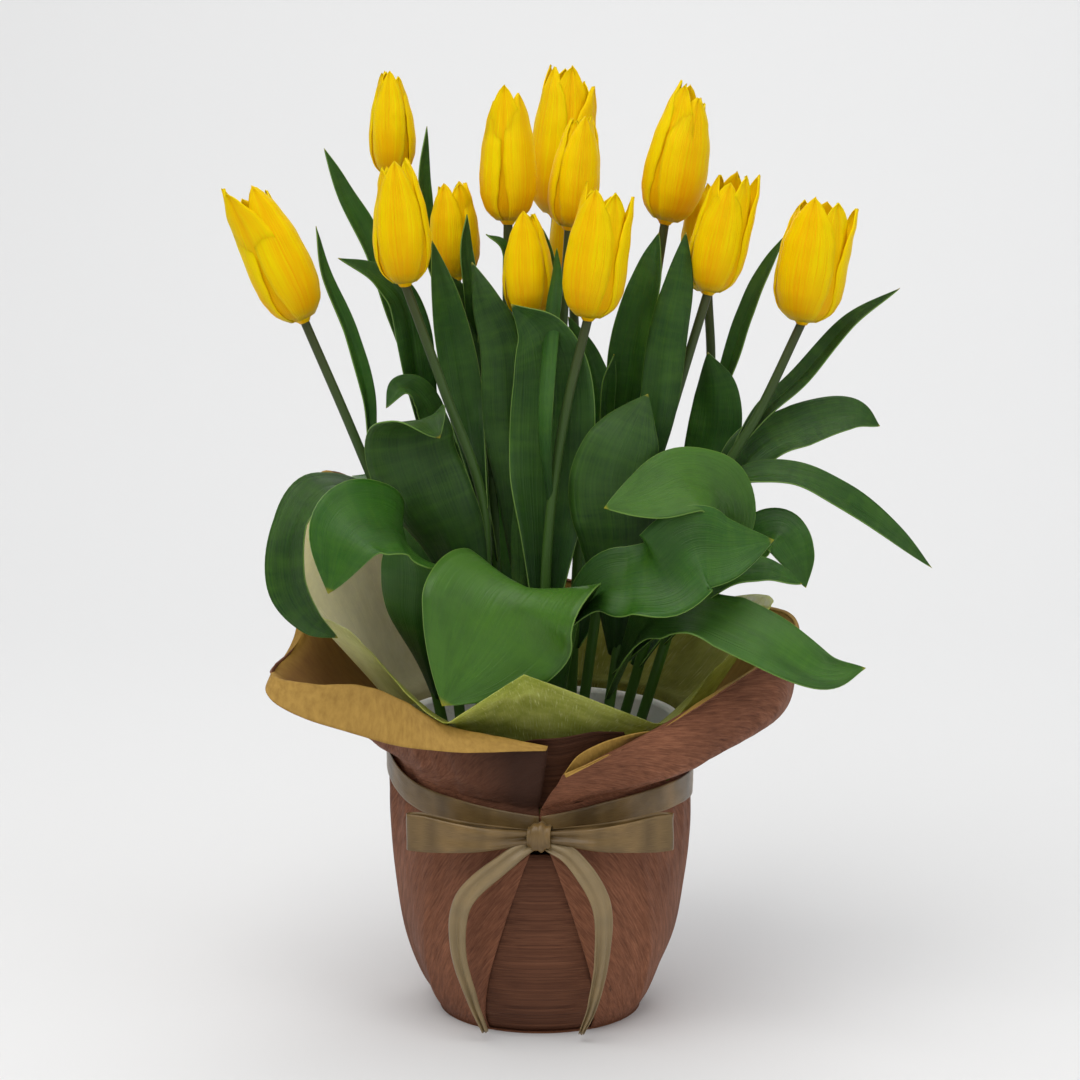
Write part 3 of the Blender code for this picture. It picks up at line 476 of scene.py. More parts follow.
def makePotMaterial():
    material, tree = newMaterial("pot_plastic")
    speck = addNoise(tree, placeOn(tree), 420, 2.0)
    mottled = addMath(tree, "MULTIPLY", addNoise(tree, placeOn(tree), 30), speck)
    base = tint(tree, potColours["plastic"], fade(tree, mottled, 0.28, 0.42), 0.35, potColours["dirt"])
    return finishSkin(material, base, addBump(tree, speck, 0.0001, 0.3), 0.42, sunk=(0.1, (1.0, 0.2, 0.1), 0.002))


soilColours = {"dark": (0.008, 0.005, 0.004), "earth": (0.035, 0.022, 0.014), "light": (0.1, 0.062, 0.035),
               "dust": (0.05, 0.034, 0.02)}


def makeSoilMaterial():
    material, tree = newMaterial("potting_soil")
    crumbs = addNoise(tree, placeOn(tree), 260, 6.0, 0.7)
    fine = addNoise(tree, placeOn(tree), 1400, 4.0, 0.7)
    base = addRamp(tree, crumbs, [(0.3, soilColours["dark"]), (0.55, soilColours["earth"]),
                                  (0.75, soilColours["light"])])
    base = tint(tree, base, fine, 0.5, soilColours["dust"])
    return finishSkin(material, base, addBump(tree, fine, 0.0008, 0.8, addBump(tree, crumbs, 0.003, 0.9)), 0.95)


def makeGritMaterial():
    # pale grains where the tone is low, bark where it is high
    material, tree = newMaterial("soil_grit")
    pores = addNoise(tree, placeOn(tree), 900)
    base = addRamp(tree, readAttribute(tree, "tone"), [(0.0, (0.5, 0.47, 0.4)), (0.45, (0.62, 0.6, 0.54)),
                                                       (0.55, (0.1, 0.05, 0.025)), (1.0, (0.2, 0.11, 0.05))])
    shade = addRamp(tree, pores, [(0.3, grey(0.55)), (0.6, white)])
    base = blend(tree, 0.8, base, shade, "MULTIPLY")
    return finishSkin(material, base, addBump(tree, pores, 0.0008, 0.8), 0.9)


# Leaves and stems

stemShape = {"radius": 2.5, "lowShare": 1.12, "taper": 0.22, "sides": 16, "rows": 44}
leafShape = {"across": 14, "along": 54, "thickness": 0.65, "broadest": 0.4, "clasp": 50, "channel": 0.9,
             "channelWidth": 0.13, "waveTurns": 13, "ripple": 1.7, "rippleLength": 26, "wander": 0.16,
             "wanderLength": 34, "slimHalf": 9}
rings = {"outer": {"radius": 46.0, "turn": 40, "start": -90}, "inner": {"radius": 20.0, "turn": 72, "start": -54}}
soilTop = 132.0


def leaf(start, width, cup, route, face, **shape):
    # start is its height on the stem, cup how far it folds up at the sides in degrees; route goes on from the stem,
    # and face gives (compass, height) angles in which its upper side looks, evenly spaced along it
    return {"start": start, "width": width, "cup": cup, "route": route, "face": face, **shape}


def bloom(foot, length, radius, **shape):
    # lean is to the right and nod backwards; tip is how open its top is, and flare bends single petals out
    return {"foot": foot, "length": length, "radius": radius, **shape}


# each plant: its place in the soil, then points along its stem, bloom and leaves in the front view
plants = {
    "far_left": {
        "place": ("outer", 7), "stem": [(-66, 215, -10), (-92, 280, -12)],
        "bloom": bloom((-118, 340, -10), 74, 16.5, lean=-23, nod=-4, spin=-60, tip=0.55, flare={5: 7, 4: 3}),
        "leaves": [
            leaf(215, 29, 24, [(-86, 250, -6), (-108, 257, -14), (-123, 238, -24), (-125, 208, -30),
                 (-115, 190, -34), (-101, 181, -36)],
                 [(0, 30), (-60, 70), (-140, 40), (-120, 5), (-100, 0)], wave=3.5, tone=0.1),
            leaf(262, 10, 40, [(-86, 300, -4), (-95, 332, -1), (-107, 362, 2), (-112, 387, 4)],
                 [(-60, 20), (-40, 20)]),
            leaf(150, 46, 22, [(-62, 190, -38), (-62, 218, -54), (-75, 238, -72), (-95, 234, -88),
                 (-106, 203, -92)],
                 [(60, 0), (80, 10), (-80, 60), (-95, 30), (-100, 0)], wave=5, broadest=0.66, tone=0.9),
        ],
    },
    "back_left": {
        "place": ("outer", 6), "stem": [(-52, 260, 38), (-66, 340, 44)],
        "bloom": bloom((-74, 412, 47), 52, 12, lean=0, nod=2, spin=20, tip=0.42),
        "leaves": [
            leaf(235, 19, 30, [(-60, 305, 14), (-67, 345, 8), (-80, 361, 2), (-101, 371, -4)],
                 [(-60, 20), (-70, 20), (-90, 50)]),
            leaf(265, 14, 35, [(-70, 335, 30), (-82, 372, 34), (-97, 402, 37), (-108, 426, 38)],
                 [(-50, 20), (-70, 10)]),
            leaf(160, 34, 30, [(-62, 235, 54), (-80, 258, 70), (-94, 262, 84)],
                 [(-40, 0), (-60, 60), (140, 50)]),
        ],
    },
    "front_left": {
        "place": ("outer", 8), "stem": [(-28, 245, -32), (-48, 305, -30)],
        "bloom": bloom((-67.5, 358, -25), 60, 14.5, lean=-4, nod=-3, spin=-90, tip=0.45),
        "leaves": [
            leaf(165, 46, 24, [(-42, 220, -36), (-56, 252, -42), (-64, 277, -46), (-60, 290, -54),
                 (-50, 281, -60)],
                 [(60, 0), (70, 10), (110, 20), (-60, 80), (-60, 20)], wave=5, broadest=0.55, tone=0.0),
            leaf(250, 20, 30, [(-36, 290, -15), (-41, 320, -12), (-47, 350, -12), (-54, 380, -8)],
                 [(-95, 0), (-85, 5)]),
            leaf(160, 15, 35, [(-31, 225, -18), (-32, 260, -12), (-29, 288, -8)], [(-110, 0), (-80, 10)]),
        ],
    },
    "mid_left": {
        "place": ("inner", 3), "stem": [(-24, 250, 10), (-34, 310, 16)],
        "bloom": bloom((-42, 361, 20), 50, 13, lean=-2, nod=0, spin=-120, tip=0.6),
        "leaves": [
            leaf(215, 20, 35, [(-29, 275, 6), (-29, 318, 6), (-37, 347, 4), (-49, 365, 3)],
                 [(-20, 0), (-60, 20), (-60, 50)]),
            leaf(300, 8, 40, [(-34, 350, 2), (-37, 375, 1), (-36.5, 393, 0)], [(-100, 0), (-60, 0)]),
            leaf(305, 9, 40, [(-54, 370, 32), (-58, 408, 35), (-56.5, 437, 37)], [(-60, 0), (-60, 0)]),
            leaf(200, 17, 25, [(-50, 280, -4), (-60, 302, -8), (-70, 306, -14), (-77, 296, -20)],
                 [(-50, 10), (-70, 40), (-110, 40)]),
        ],
    },
    "mid": {
        "place": ("inner", 2), "stem": [(-10, 270, 14), (-16, 340, 8)],
        "bloom": bloom((-16, 389, 5), 67, 14.5, lean=0, nod=0, spin=-42, tip=0.5),
        "leaves": [
            leaf(340, 6, 30, [(-17, 374, -4), (-27, 383, -6)], [(-60, 20), (-60, 50)]),
            leaf(170, 34, 35, [(-20, 235, 34), (-30, 300, 44), (-34, 335, 50)], [(-80, 0), (-80, 10)]),
        ],
    },
    "back_tall": {
        "place": ("outer", 5), "stem": [(-8, 260, 52), (2, 330, 60)],
        "bloom": bloom((8, 392, 64), 76, 17, lean=5, nod=2, spin=-20, tip=0.62, flare={0: 4}),
        "leaves": [
            leaf(165, 38, 30, [(-24, 230, 72), (-40, 270, 92), (-52, 290, 118)],
                 [(-90, 0), (-90, 40), (-90, 70)]),
            leaf(200, 20, 35, [(-4, 280, 70), (-10, 330, 84), (-16, 370, 92)], [(-90, 0), (-90, 20)]),
        ],
    },
    "mid_right": {
        "place": ("inner", 0), "stem": [(8, 270, -6), (11, 330, 4)],
        "bloom": bloom((14.5, 386, 8), 56, 13, lean=7, nod=0, spin=-75, tip=0.42),
        "leaves": [
            leaf(300, 7, 40, [(6, 350, -6), (2.5, 377, -8), (-4.5, 393, -9)], [(-70, 0), (-60, 20)]),
        ],
    },
    "front_low": {
        "place": ("inner", 4), "stem": [(-10, 240, -20), (-8, 295, -22)],
        "bloom": bloom((-5.5, 341, -22), 53, 13, lean=-2, nod=-3, spin=-100, tip=0.38),
        "leaves": [
            leaf(205, 24, 30, [(-13, 252, -28), (-17, 290, -29), (-19, 325, -30), (-28, 350, -30),
                 (-34, 369, -24)],
                 [(80, 0), (90, 10), (60, 20)]),
            leaf(155, 9, 40, [(-11, 215, -34), (-12.5, 250, -36)], [(60, 0), (70, 0)]),
        ],
    },
    "front": {
        "place": ("outer", 0), "stem": [(4, 230, -46), (12, 290, -44)],
        "bloom": bloom((24, 341, -42), 66, 16, lean=7, nod=-4, spin=-115, tip=0.62, flare={2: 6}),
        "leaves": [
            leaf(192, 42, 26, [(5, 240, -38), (6, 280, -36), (6, 312, -36), (0, 334, -40), (-14.5, 348, -45)],
                 [(-90, 0), (-90, 10), (-90, -30)], wave=4, tone=0.3),
            leaf(250, 9, 35, [(2, 285, -51), (5, 335, -40), (8, 360, -32), (8.5, 376, -30)],
                 [(60, 0), (60, 0)]),
            leaf(150, 78, 14, [(-5, 185, -64), (-4, 206, -74), (-14, 201, -83), (-28, 178, -87),
                 (-49, 147, -91)],
                 [(90, 0), (90, 30), (-85, 70), (-75, 30), (-75, 10)], wave=2.5, broadest=0.66, tone=1.3),
            leaf(175, 45, 18, [(27, 202, -64), (45, 208, -74), (61, 212, -80), (77, 225, -82), (95, 226, -80),
                 (117, 230, -74)],
                 [(-120, 60), (-90, 45), (-90, 20), (-80, 20)], wave=7, broadest=0.55, tone=0.9),
        ],
    },
    "tall_right": {
        "place": ("inner", 1), "stem": [(38, 265, 12), (52, 325, 14)],
        "bloom": bloom((62.5, 389, 15), 69, 16.5, lean=12, nod=0, spin=-70, tip=0.48),
        "leaves": [
            leaf(230, 22, 30, [(42, 296, 0), (47, 332, 0), (54, 362, 4), (59.5, 384, 8)],
                 [(-120, 10), (-110, 10)]),
            leaf(225, 9, 35, [(33, 298, -8), (37, 323, -10)], [(-60, 0), (-60, 0)]),
        ],
    },
    "right": {
        "place": ("outer", 1), "stem": [(48, 235, -28), (66, 295, -20)],
        "bloom": bloom((84, 354, -15), 60, 14.5, lean=12, nod=-3, spin=-100, tip=0.6, flare={2: 4}),
        "leaves": [
            leaf(252, 20, 32, [(59, 290, -30), (64, 330, -30), (70, 360, -27), (73, 384, -24)],
                 [(90, 0), (100, 10)]),
            leaf(175, 43, 22, [(38, 230, -48), (36, 260, -55), (44, 284, -55), (54, 303, -50)],
                 [(80, 0), (80, 10), (60, 10)], wave=6, tone=0.1),
            leaf(158, 35, 16, [(55, 190, -56), (80, 192, -70), (110, 181, -82), (140, 164, -90),
                 (163, 166, -90)],
                 [(-120, 60), (-90, 60), (-80, 40), (-60, 30)], wave=7.5, tone=1.15),
            leaf(170, 20, 30, [(84, 205, -50), (110, 214, -54), (131, 208, -56)],
                 [(-120, 60), (-80, 60), (-60, 30)]),
        ],
    },
    "far_right": {
        "place": ("outer", 2), "stem": [(86, 252, -10), (110, 295, -10)],
        "bloom": bloom((131, 339, -8), 62, 18, lean=8, nod=-3, spin=-110, tip=0.72, flare={2: 6}),
        "leaves": [
            leaf(272, 12, 35, [(112, 294, -4), (131, 312, -1), (155, 339, 2), (180, 356, 4)],
                 [(-120, 20), (-100, 40)]),
            leaf(225, 25, 16, [(104, 272, -4), (130, 287, 0), (155, 293, 4), (170, 287, 4)],
                 [(-130, 40), (-90, 40), (-90, 30)], wave=3),
            leaf(235, 18, 25, [(100, 260, -18), (125, 262, -22), (150, 252, -24), (175, 235, -24),
                 (196, 216, -24)],
                 [(-130, 50), (-90, 60), (-80, 10)]),
            leaf(212, 37, 16, [(92, 234, -36), (90, 252, -54), (74, 259, -66), (53, 251, -76), (32, 246, -84)],
                 [(-125, -20), (-80, 20), (-70, 45), (-90, 40)], wave=3, broadest=0.55, tone=1.3),
            leaf(180, 26, 22, [(100, 222, -22), (118, 234, -28), (128, 222, -32), (133, 206, -32)],
                 [(-130, 50), (-90, 40), (-80, 0)]),
        ],
    },
    "back_mid": {
        "place": ("outer", 4), "stem": [(20, 260, 42), (18, 320, 40)],
        "bloom": bloom((16, 362, 36), 48, 12.5, lean=0, nod=0, spin=0, tip=0.42),
        "leaves": [
            leaf(235, 18, 30, [(30, 292, 22), (25, 318, 18), (14, 342, 14)], [(120, 0), (100, 0)]),
            leaf(165, 36, 30, [(38, 225, 66), (56, 262, 88), (66, 275, 112)],
                 [(-110, 0), (-100, 40), (-90, 70)]),
        ],
    },
    "back_right": {
        "place": ("outer", 3), "stem": [(76, 260, 26), (85, 310, 28)],
        "bloom": bloom((84, 354, 31), 54, 13.5, lean=-4, nod=2, spin=10, tip=0.45),
        "leaves": [
            leaf(240, 11, 38, [(92, 308, 24), (102, 340, 26), (112, 364, 28), (123, 383, 30)],
                 [(-140, 10), (-110, 20)]),
            leaf(215, 27, 26, [(84, 272, 14), (88, 302, 13), (84, 324, 12)], [(90, 0), (70, 0)]),
            leaf(160, 34, 28, [(78, 210, 50), (108, 232, 66), (132, 222, 78)],
                 [(-140, 0), (-120, 60), (30, 40)]),
        ],
    },
}

def stemRoute(plant):
    ring, number = plant["place"]
    foot = polar(rings[ring]["start"] + number * rings[ring]["turn"], rings[ring]["radius"], soilTop)
    points = [at(*p) for p in plant["stem"]]
    return [foot, foot.lerp(points[0], 0.4)] + points + [at(*plant["bloom"]["foot"])]


def shareAtHeight(route, v):
    target = at(0, v, 0).z
    return next((s for s in spaced(60)[:-1] if smoothAt(route, s).z >= target), 1.0)


def lookOf(turns, s):
    return smoothAt([polar(compass, math.cos(math.radians(height)), math.sin(math.radians(height)))
                     for compass, height in turns], s)


def leafWidth(s, broadest):
    # it clasps the stem, is broadest at that share and ends in a point
    if s < broadest:
        return 0.3 + 0.7 * math.sin(math.pi / 2 * s / broadest)
    return math.cos(math.pi / 2 * ((s - broadest) / (1 - broadest)) ** 1.35)


def leafRows(stem, leaf, seed):
    knots = [smoothAt(stem, shareAtHeight(stem, leaf["start"]))] + [at(*p) for p in leaf["route"]]
    length = lengthOf(knots)
    rows = []
    for s in spaced(leafShape["along"]):
        middle = smoothAt(knots, s)
        along = (smoothAt(knots, s + 0.02) - smoothAt(knots, s - 0.02)).normalized()
        face = lookOf(leaf["face"], s)
        face = (face - along * face.dot(along)).normalized()
        edge = along.cross(face)
        span = leafWidth(s, leaf.get("broadest", leafShape["broadest"]))
        half = leaf["width"] / 2 * span
        fullness = min(1, half / leafShape["slimHalf"])
        cup = math.radians(leaf["cup"] + leafShape["clasp"] * max(0.0, 1 - s / 0.3))
        wave = leaf.get("wave", 0) * math.sin(math.pi * min(1, 2 * s)) * span
        row = []
        for t in spaced(leafShape["across"], -1, 1):
            lift = half * (1 - math.cos(cup * t)) / cup
            lift += wave * t * t * math.sin(leafShape["waveTurns"] * s + 1.6 * t)
            # a channel down the midrib, and small ripples that grow towards the edges
            lift -= leafShape["channel"] * fullness * math.exp(-(t / leafShape["channelWidth"]) ** 2) * (1 - s ** 3)
            ripple = noiseAt(t * 1.3 + seed, s * length / leafShape["rippleLength"], seed * 0.7)
            lift += leafShape["ripple"] * fullness * ripple * (0.3 + abs(t)) * min(1, 4 * s)
            edgeNoise = noiseAt(seed + (3 if t > 0 else 0), s * length / leafShape["wanderLength"], 2.0)
            wander = 1 + leafShape["wander"] * edgeNoise * abs(t) * (1 - s)
            row.append(middle + edge * (half * wander * math.sin(cup * t) / cup) + face * lift)
        rows.append(row)
    return rows, leaf["width"], length


def makeTube(name, points, radii, sides, tone, skins, slot):
    # a round sweep: a grid wrapped round the route and welded down its seam
    rows = []
    side = Vector((1, 0, 0))
    for i, (p, r) in enumerate(zip(points, radii)):
        along = directionAt(points, i).normalized()
        side = (side - along * side.dot(along)).normalized()
        other = along.cross(side)
        rows.append([p + (side * math.cos(2 * math.pi * k / sides) + other * math.sin(2 * math.pi * k / sides)) * r
                     for k in range(sides + 1)])
    made = growSheet(name, rows, 2 * math.pi * max(radii), lengthOf(points), tone)
    bpy.ops.object.shade_smooth()
    dress(made, skins, slot)
    return made


stemSkin = makeStemMaterial()
plantSkins = (makeLeafMaterial("leaf_upper", 0.38, 0.26), makeLeafMaterial("leaf_under", 0.5, 0.36), stemSkin)


def makePlant(name, plant, seed):
    route, count = stemRoute(plant), stemShape["rows"]
    points = [smoothAt(route, s) for s in spaced(count)]
    radii = [stemShape["radius"] * (stemShape["lowShare"] - stemShape["taper"] * i / count) for i in range(count + 1)]
    pieces = [makeTube(f"{name}_stem", points, radii, stemShape["sides"], 0.5, plantSkins, 2)]
    for number, leaf in enumerate(plant["leaves"]):
        leafSeed = seed * 7.3 + number * 3.1
        rows, width, length = leafRows(route, leaf, leafSeed)
        made = growSheet(f"{name}_leaf", rows, width, length, leaf.get("tone", (leafSeed * 0.377) % 1))
        dress(made, plantSkins)
        thicken(made, leafShape["thickness"], 1)
        pieces.append(made)
    standsFor(joinPieces(f"leaves_{name}", pieces), "leaf", f"plant_{name}")


for number, (name, plant) in enumerate(plants.items()):
    makePlant(name, plant, number + 1)
print("plants:", len(plants), "with", sum(len(plant["leaves"]) for plant in plants.values()), "leaves")


# Blooms: three outer petals and three inner ones round a closed cup

petalShape = {"across": 14, "along": 26, "thickness": 0.55, "layerGap": 1.7, "crease": 0.45, "curl": (-1.15, 0.5),
              "wobble": 0.9, "topWave": 1.1, "looseFlare": 2.2,
              "cup": [(0, 0.3), (0.05, 0.58), (0.12, 0.82), (0.24, 0.97), (0.38, 1.0), (0.6, 0.92), (0.82, 0.73),
                      (1.0, 0.5)],
              "outline": [(0, 0.3), (0.12, 0.66), (0.28, 0.93), (0.45, 1.0), (0.65, 0.92), (0.8, 0.68), (0.9, 0.4),
                          (0.96, 0.2), (1.0, 0.0)],
              "lengths": [1.0, 0.91, 0.95, 0.985, 0.88, 0.94]}
stamenRadii = [0.5, 0.5, 0.5, 0.5, 0.5, 1.3, 1.5, 1.3, 0.4]
bloomSkins = (makePetalMaterial("petal_outside", 0.42), makePetalMaterial("petal_inside", 0.5), stemSkin)


def petalRows(bloom, number, seed):
    inner = number % 2
    radius = bloom["radius"] - inner * petalShape["layerGap"] - 0.13 * number
    length = bloom["length"] * petalShape["lengths"][(number + int(seed)) % 6]
    middle = bloom["spin"] + 60 * number
    half = 0.96 * radius
    flare = bloom.get("flare", {}).get(number, 0) + petalShape["looseFlare"] * noiseAt(seed * 1.3, number * 2.3, 0.5)
    closing = bloom["tip"] - petalShape["cup"][-1][1]
    rows = []
    for s in spaced(petalShape["along"], 0.02):
        r = radius * (readCurve(petalShape["cup"], s) + closing * max(0.0, (s - 0.4) / 0.6) ** 1.4)
        r += flare * max(0, (s - 0.35) / 0.65) ** 2
        reach = half * readCurve(petalShape["outline"], s) / r
        row = []
        for t in spaced(petalShape["across"], -1, 1):
            wobble = noiseAt(t * 1.6 + seed, s * 3.2, seed * 0.31)
            # a shallow crease down the middle, edges that curl a little and a wavy top
            bulge = (-petalShape["crease"] * math.exp(-(t / 0.16) ** 2) * min(1, 3 * s)
                     + petalShape["wobble"] * wobble * (0.25 + t * t) * s)
            bulge += petalShape["curl"][inner] * abs(t) ** 3 * min(1, 4 * s)
            up = length * s + petalShape["topWave"] * noiseAt(t * 2.4 + seed, 5.0, 0) * s * s
            row.append(polar(middle + math.degrees(reach * t), max(r + bulge, 0.6), up))
        rows.append(row)
    return rows, 2 * half, length


def makeBloom(name, bloom, seed):
    place = (Matrix.Translation(at(*bloom["foot"])) @ Matrix.Rotation(math.radians(bloom["lean"]), 4, "Y")
             @ Matrix.Rotation(math.radians(-bloom["nod"]), 4, "X"))
    pieces = []
    for number in range(6):
        rows, width, length = petalRows(bloom, number, seed + number * 1.7)
        rows = [[place @ p for p in row] for row in rows]
        made = growSheet(f"{name}_petal", rows, width, length, ((seed + number) * 0.377) % 1)
        dress(made, bloomSkins)
        thicken(made, petalShape["thickness"], 1)
        pieces.append(made)
    # the heel where the petals meet the stem, the pistil and six stamens; each profile is (height, radius)
    length, radius = bloom["length"], bloom["radius"]
    heel = [(-1.2, 2.6), (0.2, 3.6), (1.6, 0.3 * radius + 0.6), (3.0, 0.36 * radius)]
    pistil = [(2.0, 2.4), (0.2 * length, 2.4), (0.34 * length, 2.0), (0.38 * length, 3.2), (0.41 * length, 0.4)]
    for kind, profile, slot in (("heel", heel, 0), ("pistil", pistil, 2)):
        line = [place @ Vector((0, 0, z)) for z, r in profile]
        pieces.append(makeTube(f"{name}_{kind}", line, [r for z, r in profile], 12, 0.4, bloomSkins, slot))
    for k in range(6):
        foot, tip = polar(60 * k + seed * 20, 3.4, 3.0), polar(60 * k + seed * 20, 6.2, 0.4 * length)
        line = [place @ foot.lerp(tip, s) for s in spaced(8)]
        pieces.append(makeTube(f"{name}_stamen", line, stamenRadii, 8, 0.4, bloomSkins, 1))
    standsFor(joinPieces(f"petals_{name}", pieces), "petal", f"bloom_{name}")


for number, (name, plant) in enumerate(plants.items()):
    makeBloom(name, plant["bloom"], number * 5.3 + 2)
print("blooms:", len(plants))


# Pot and soil

pot = {"floorZ": 1.1, "floor": 2.0, "wall": 1.6, "baseRadius": 47.0, "topRadius": 68.5, "rimRadius": 71.5,
       "rimHeight": 11.0, "topZ": 150.0, "sides": 96, "edge": 0.5, "edgeAngle": 25, "smoothAngle": 35}


def potRadius(z):
    share = (z - pot["floorZ"]) / (pot["topZ"] - pot["floorZ"])
    return pot["baseRadius"] + (pot["topRadius"] - pot["baseRadius"]) * share


def makePot():
    deselectAll()
    rimLow = pot["topZ"] - pot["rimHeight"]
    radius = potRadius(rimLow)
    bpy.ops.mesh.primitive_cone_add(vertices=pot["sides"], radius1=pot["baseRadius"] * mm, radius2=radius * mm,
                                    depth=(rimLow - pot["floorZ"]) * mm, end_fill_type="NGON",
                                    location=(0, 0, (rimLow + pot["floorZ"]) / 2 * mm))
    piece = bpy.context.object
    piece.name = "pot_body"
    bpy.ops.object.transform_apply(location=True, rotation=False, scale=False)
    bpy.ops.object.mode_set(mode="EDIT")
    bpy.ops.mesh.select_mode(type="FACE")
    bpy.ops.mesh.select_all(action="DESELECT")
    bpy.ops.object.mode_set(mode="OBJECT")
    max(piece.data.polygons, key=lambda face: face.center.z).select = True
    bpy.ops.object.mode_set(mode="EDIT")
    # the rim, its rounded edge and the inside; each step is how far the top goes up and its new radius
    steps = [(2.0, pot["rimRadius"]), (pot["rimHeight"] - 3, pot["rimRadius"]), (1.0, pot["rimRadius"] - 1),
             (0.0, pot["topRadius"]), (-2.0, pot["topRadius"] - pot["wall"]),
             (pot["floorZ"] + pot["floor"] - pot["topZ"] + 2, pot["baseRadius"] - pot["wall"])]
    for rise, newRadius in steps:
        bpy.ops.mesh.extrude_region_move(TRANSFORM_OT_translate={"value": (0, 0, rise * mm)})
        scale = newRadius / radius
        bpy.ops.transform.resize(value=(scale, scale, 1), center_override=(0, 0, 0))
        radius = newRadius
    bpy.ops.object.mode_set(mode="OBJECT")
    bevel = piece.modifiers.new("edges", "BEVEL")
    bevel.width = pot["edge"] * mm
    bevel.segments = 2
    bevel.limit_method = "ANGLE"
    bevel.angle_limit = math.radians(pot["edgeAngle"])
    finishModifier(piece, bevel)
    pick(piece)
    bpy.ops.object.shade_smooth_by_angle(angle=math.radians(pot["smoothAngle"]))
    dress(piece, [makePotMaterial()])
    standsFor(piece, "pot", "pot")


makePot()

soil = {"rings": 40, "sides": 110, "bump": 2.6, "bumpSize": 9, "depth": 40, "taper": 0.985, "grit": 260,
        "gritSize": (0.6, 2.1), "gritReach": 0.97, "seed": 11}


def soilHeight(x, y):
    place = Vector((x / soil["bumpSize"], y / soil["bumpSize"], 3.7))
    return soilTop + 0.6 + soil["bump"] * noise.fractal(place, 0.6, 2.1, 4)


def makeSoil():
    outer = potRadius(soilTop) - pot["wall"] - 0.3
    rows = []
    for i in range(soil["rings"] + 1):
        radius = outer * (1 - i / soil["rings"])
        places = [polar(360 * j / soil["sides"], radius, 0) for j in range(soil["sides"] + 1)]
        rows.append([Vector((p.x, p.y, soilHeight(p.x, p.y))) for p in places])
    rows.insert(0, [Vector((p.x * soil["taper"], p.y * soil["taper"], soilTop - soil["depth"])) for p in rows[0]])
    piece = growSheet("soil_top", rows, 360, 200)
    bpy.ops.object.shade_smooth()
    skins = (makeSoilMaterial(), makeGritMaterial())
    dress(piece, skins)
    generator = random.Random(soil["seed"])
    deselectAll()
    bpy.ops.mesh.primitive_ico_sphere_add(subdivisions=2, radius=1 * mm)
    seed = bpy.context.object
    pieces = [piece]
    for k in range(soil["grit"]):
        radius = outer * math.sqrt(generator.random()) * soil["gritReach"]
        angle = generator.uniform(0, 360)
        size = generator.uniform(*soil["gritSize"])
        p = polar(angle, radius, 0)
        crumb = seed.copy()
        crumb.data = seed.data.copy()
        bpy.context.collection.objects.link(crumb)
        turn = Matrix.Rotation(generator.uniform(0, 6), 3, "X") @ Matrix.Rotation(generator.uniform(0, 6), 3, "Z")
        squash = Vector((size, size * generator.uniform(0.6, 1), size * generator.uniform(0.5, 0.9)))
        centre = Vector((p.x, p.y, soilHeight(p.x, p.y) + 0.3 * size))
        for vertex in crumb.data.vertices:
            way = vertex.co / mm
            lump = 1 + 0.3 * noise.noise(way * 1.4 + Vector((k, 0, 0)))
            vertex.co = (centre + turn @ Vector((way.x * squash.x, way.y * squash.y, way.z * squash.z)) * lump) * mm
        dress(crumb, skins, 1)
        setField(crumb, "tone", generator.random())
        pieces.append(crumb)
    bpy.data.objects.remove(seed)
    standsFor(joinPieces("soil_bed", pieces), "soil", "soil")


makeSoil()
print("pot and soil")


# The paper: two wings that meet at the knot, a front panel and a disc under the pot

paper = {"thickness": 0.8, "baseRadius": 50.5, "radius": 76.0, "columns": 260, "rows": 96, "neckRise": 10.0,
         "edgeLow": 30.0, "edgeKnot": 0.4, "pleat": 1.9, "crumple": 1.3, "fan": 2.4, "corners": 9, "facet": 1.3,
         "ribbonZ": [112, 117, 122, 131, 131, 128, 125, 122, 120, 119, 119, 120, 118, 112],
         "side": [(0, 50.5), (0.06, 56), (0.13, 62), (0.25, 67.5), (0.4, 71.5), (0.75, 76.0), (1, 76.0)],
         "panelTop": 0.88, "panelRows": 24, "panelColumns": 30, "panelLap": 8, "foldRows": 18, "foldColumns": 40,
         "wingSize": (480, 240), "panelSize": (80, 100), "foldSize": (80, 40), "spans": 11,
         "underRibbon": (4.6, 6.0)}
# round the sheet from the front, clockwise from above: where it turns out, its top and its turned-down end
wrapStations = [
    ((1, 105, -85), (4, 126, -89), (3, 124.5, -90)),
    ((-38, 112, -76), (-48, 138, -80), (-46, 124, -92)),
    ((-66, 124, -55), (-82, 156, -58), (-86, 131, -72)),
    ((-94, 136, -22), (-132, 162, -22), (-136, 152, -34)),
    ((-100, 160, 16), (-116, 186, 20), (-122, 186, 18)),
    ((-88, 190, 54), (-109, 260, 70), (-112, 262, 73)),
    ((-46, 180, 80), (-58, 237, 94), (-59, 240, 96)),
    ((0, 168, 86), (2, 211, 100), (2, 214, 101)),
    ((52, 165, 78), (64, 199, 92), (65, 202, 93)),
    ((100, 160, 46), (120, 192, 54), (122, 195, 56)),
    ((122, 148, 8), (125, 174, 10), (128, 177, 10)),
    ((130, 146, -34), (111, 167, -38), (114, 170, -41)),
    ((76, 116, -74), (60, 136, -82), (61, 136, -83)),
    ((5, 102, -92), (12, 112, -97), (13, 111, -98)),
]


def wingAzimuth(a, s):
    # a runs round the sheet, s up the bucket; the front edges draw together towards the knot
    edge = paper["edgeLow"] + (paper["edgeKnot"] - paper["edgeLow"]) * s
    return -90 - edge - (360 - 2 * edge) * a


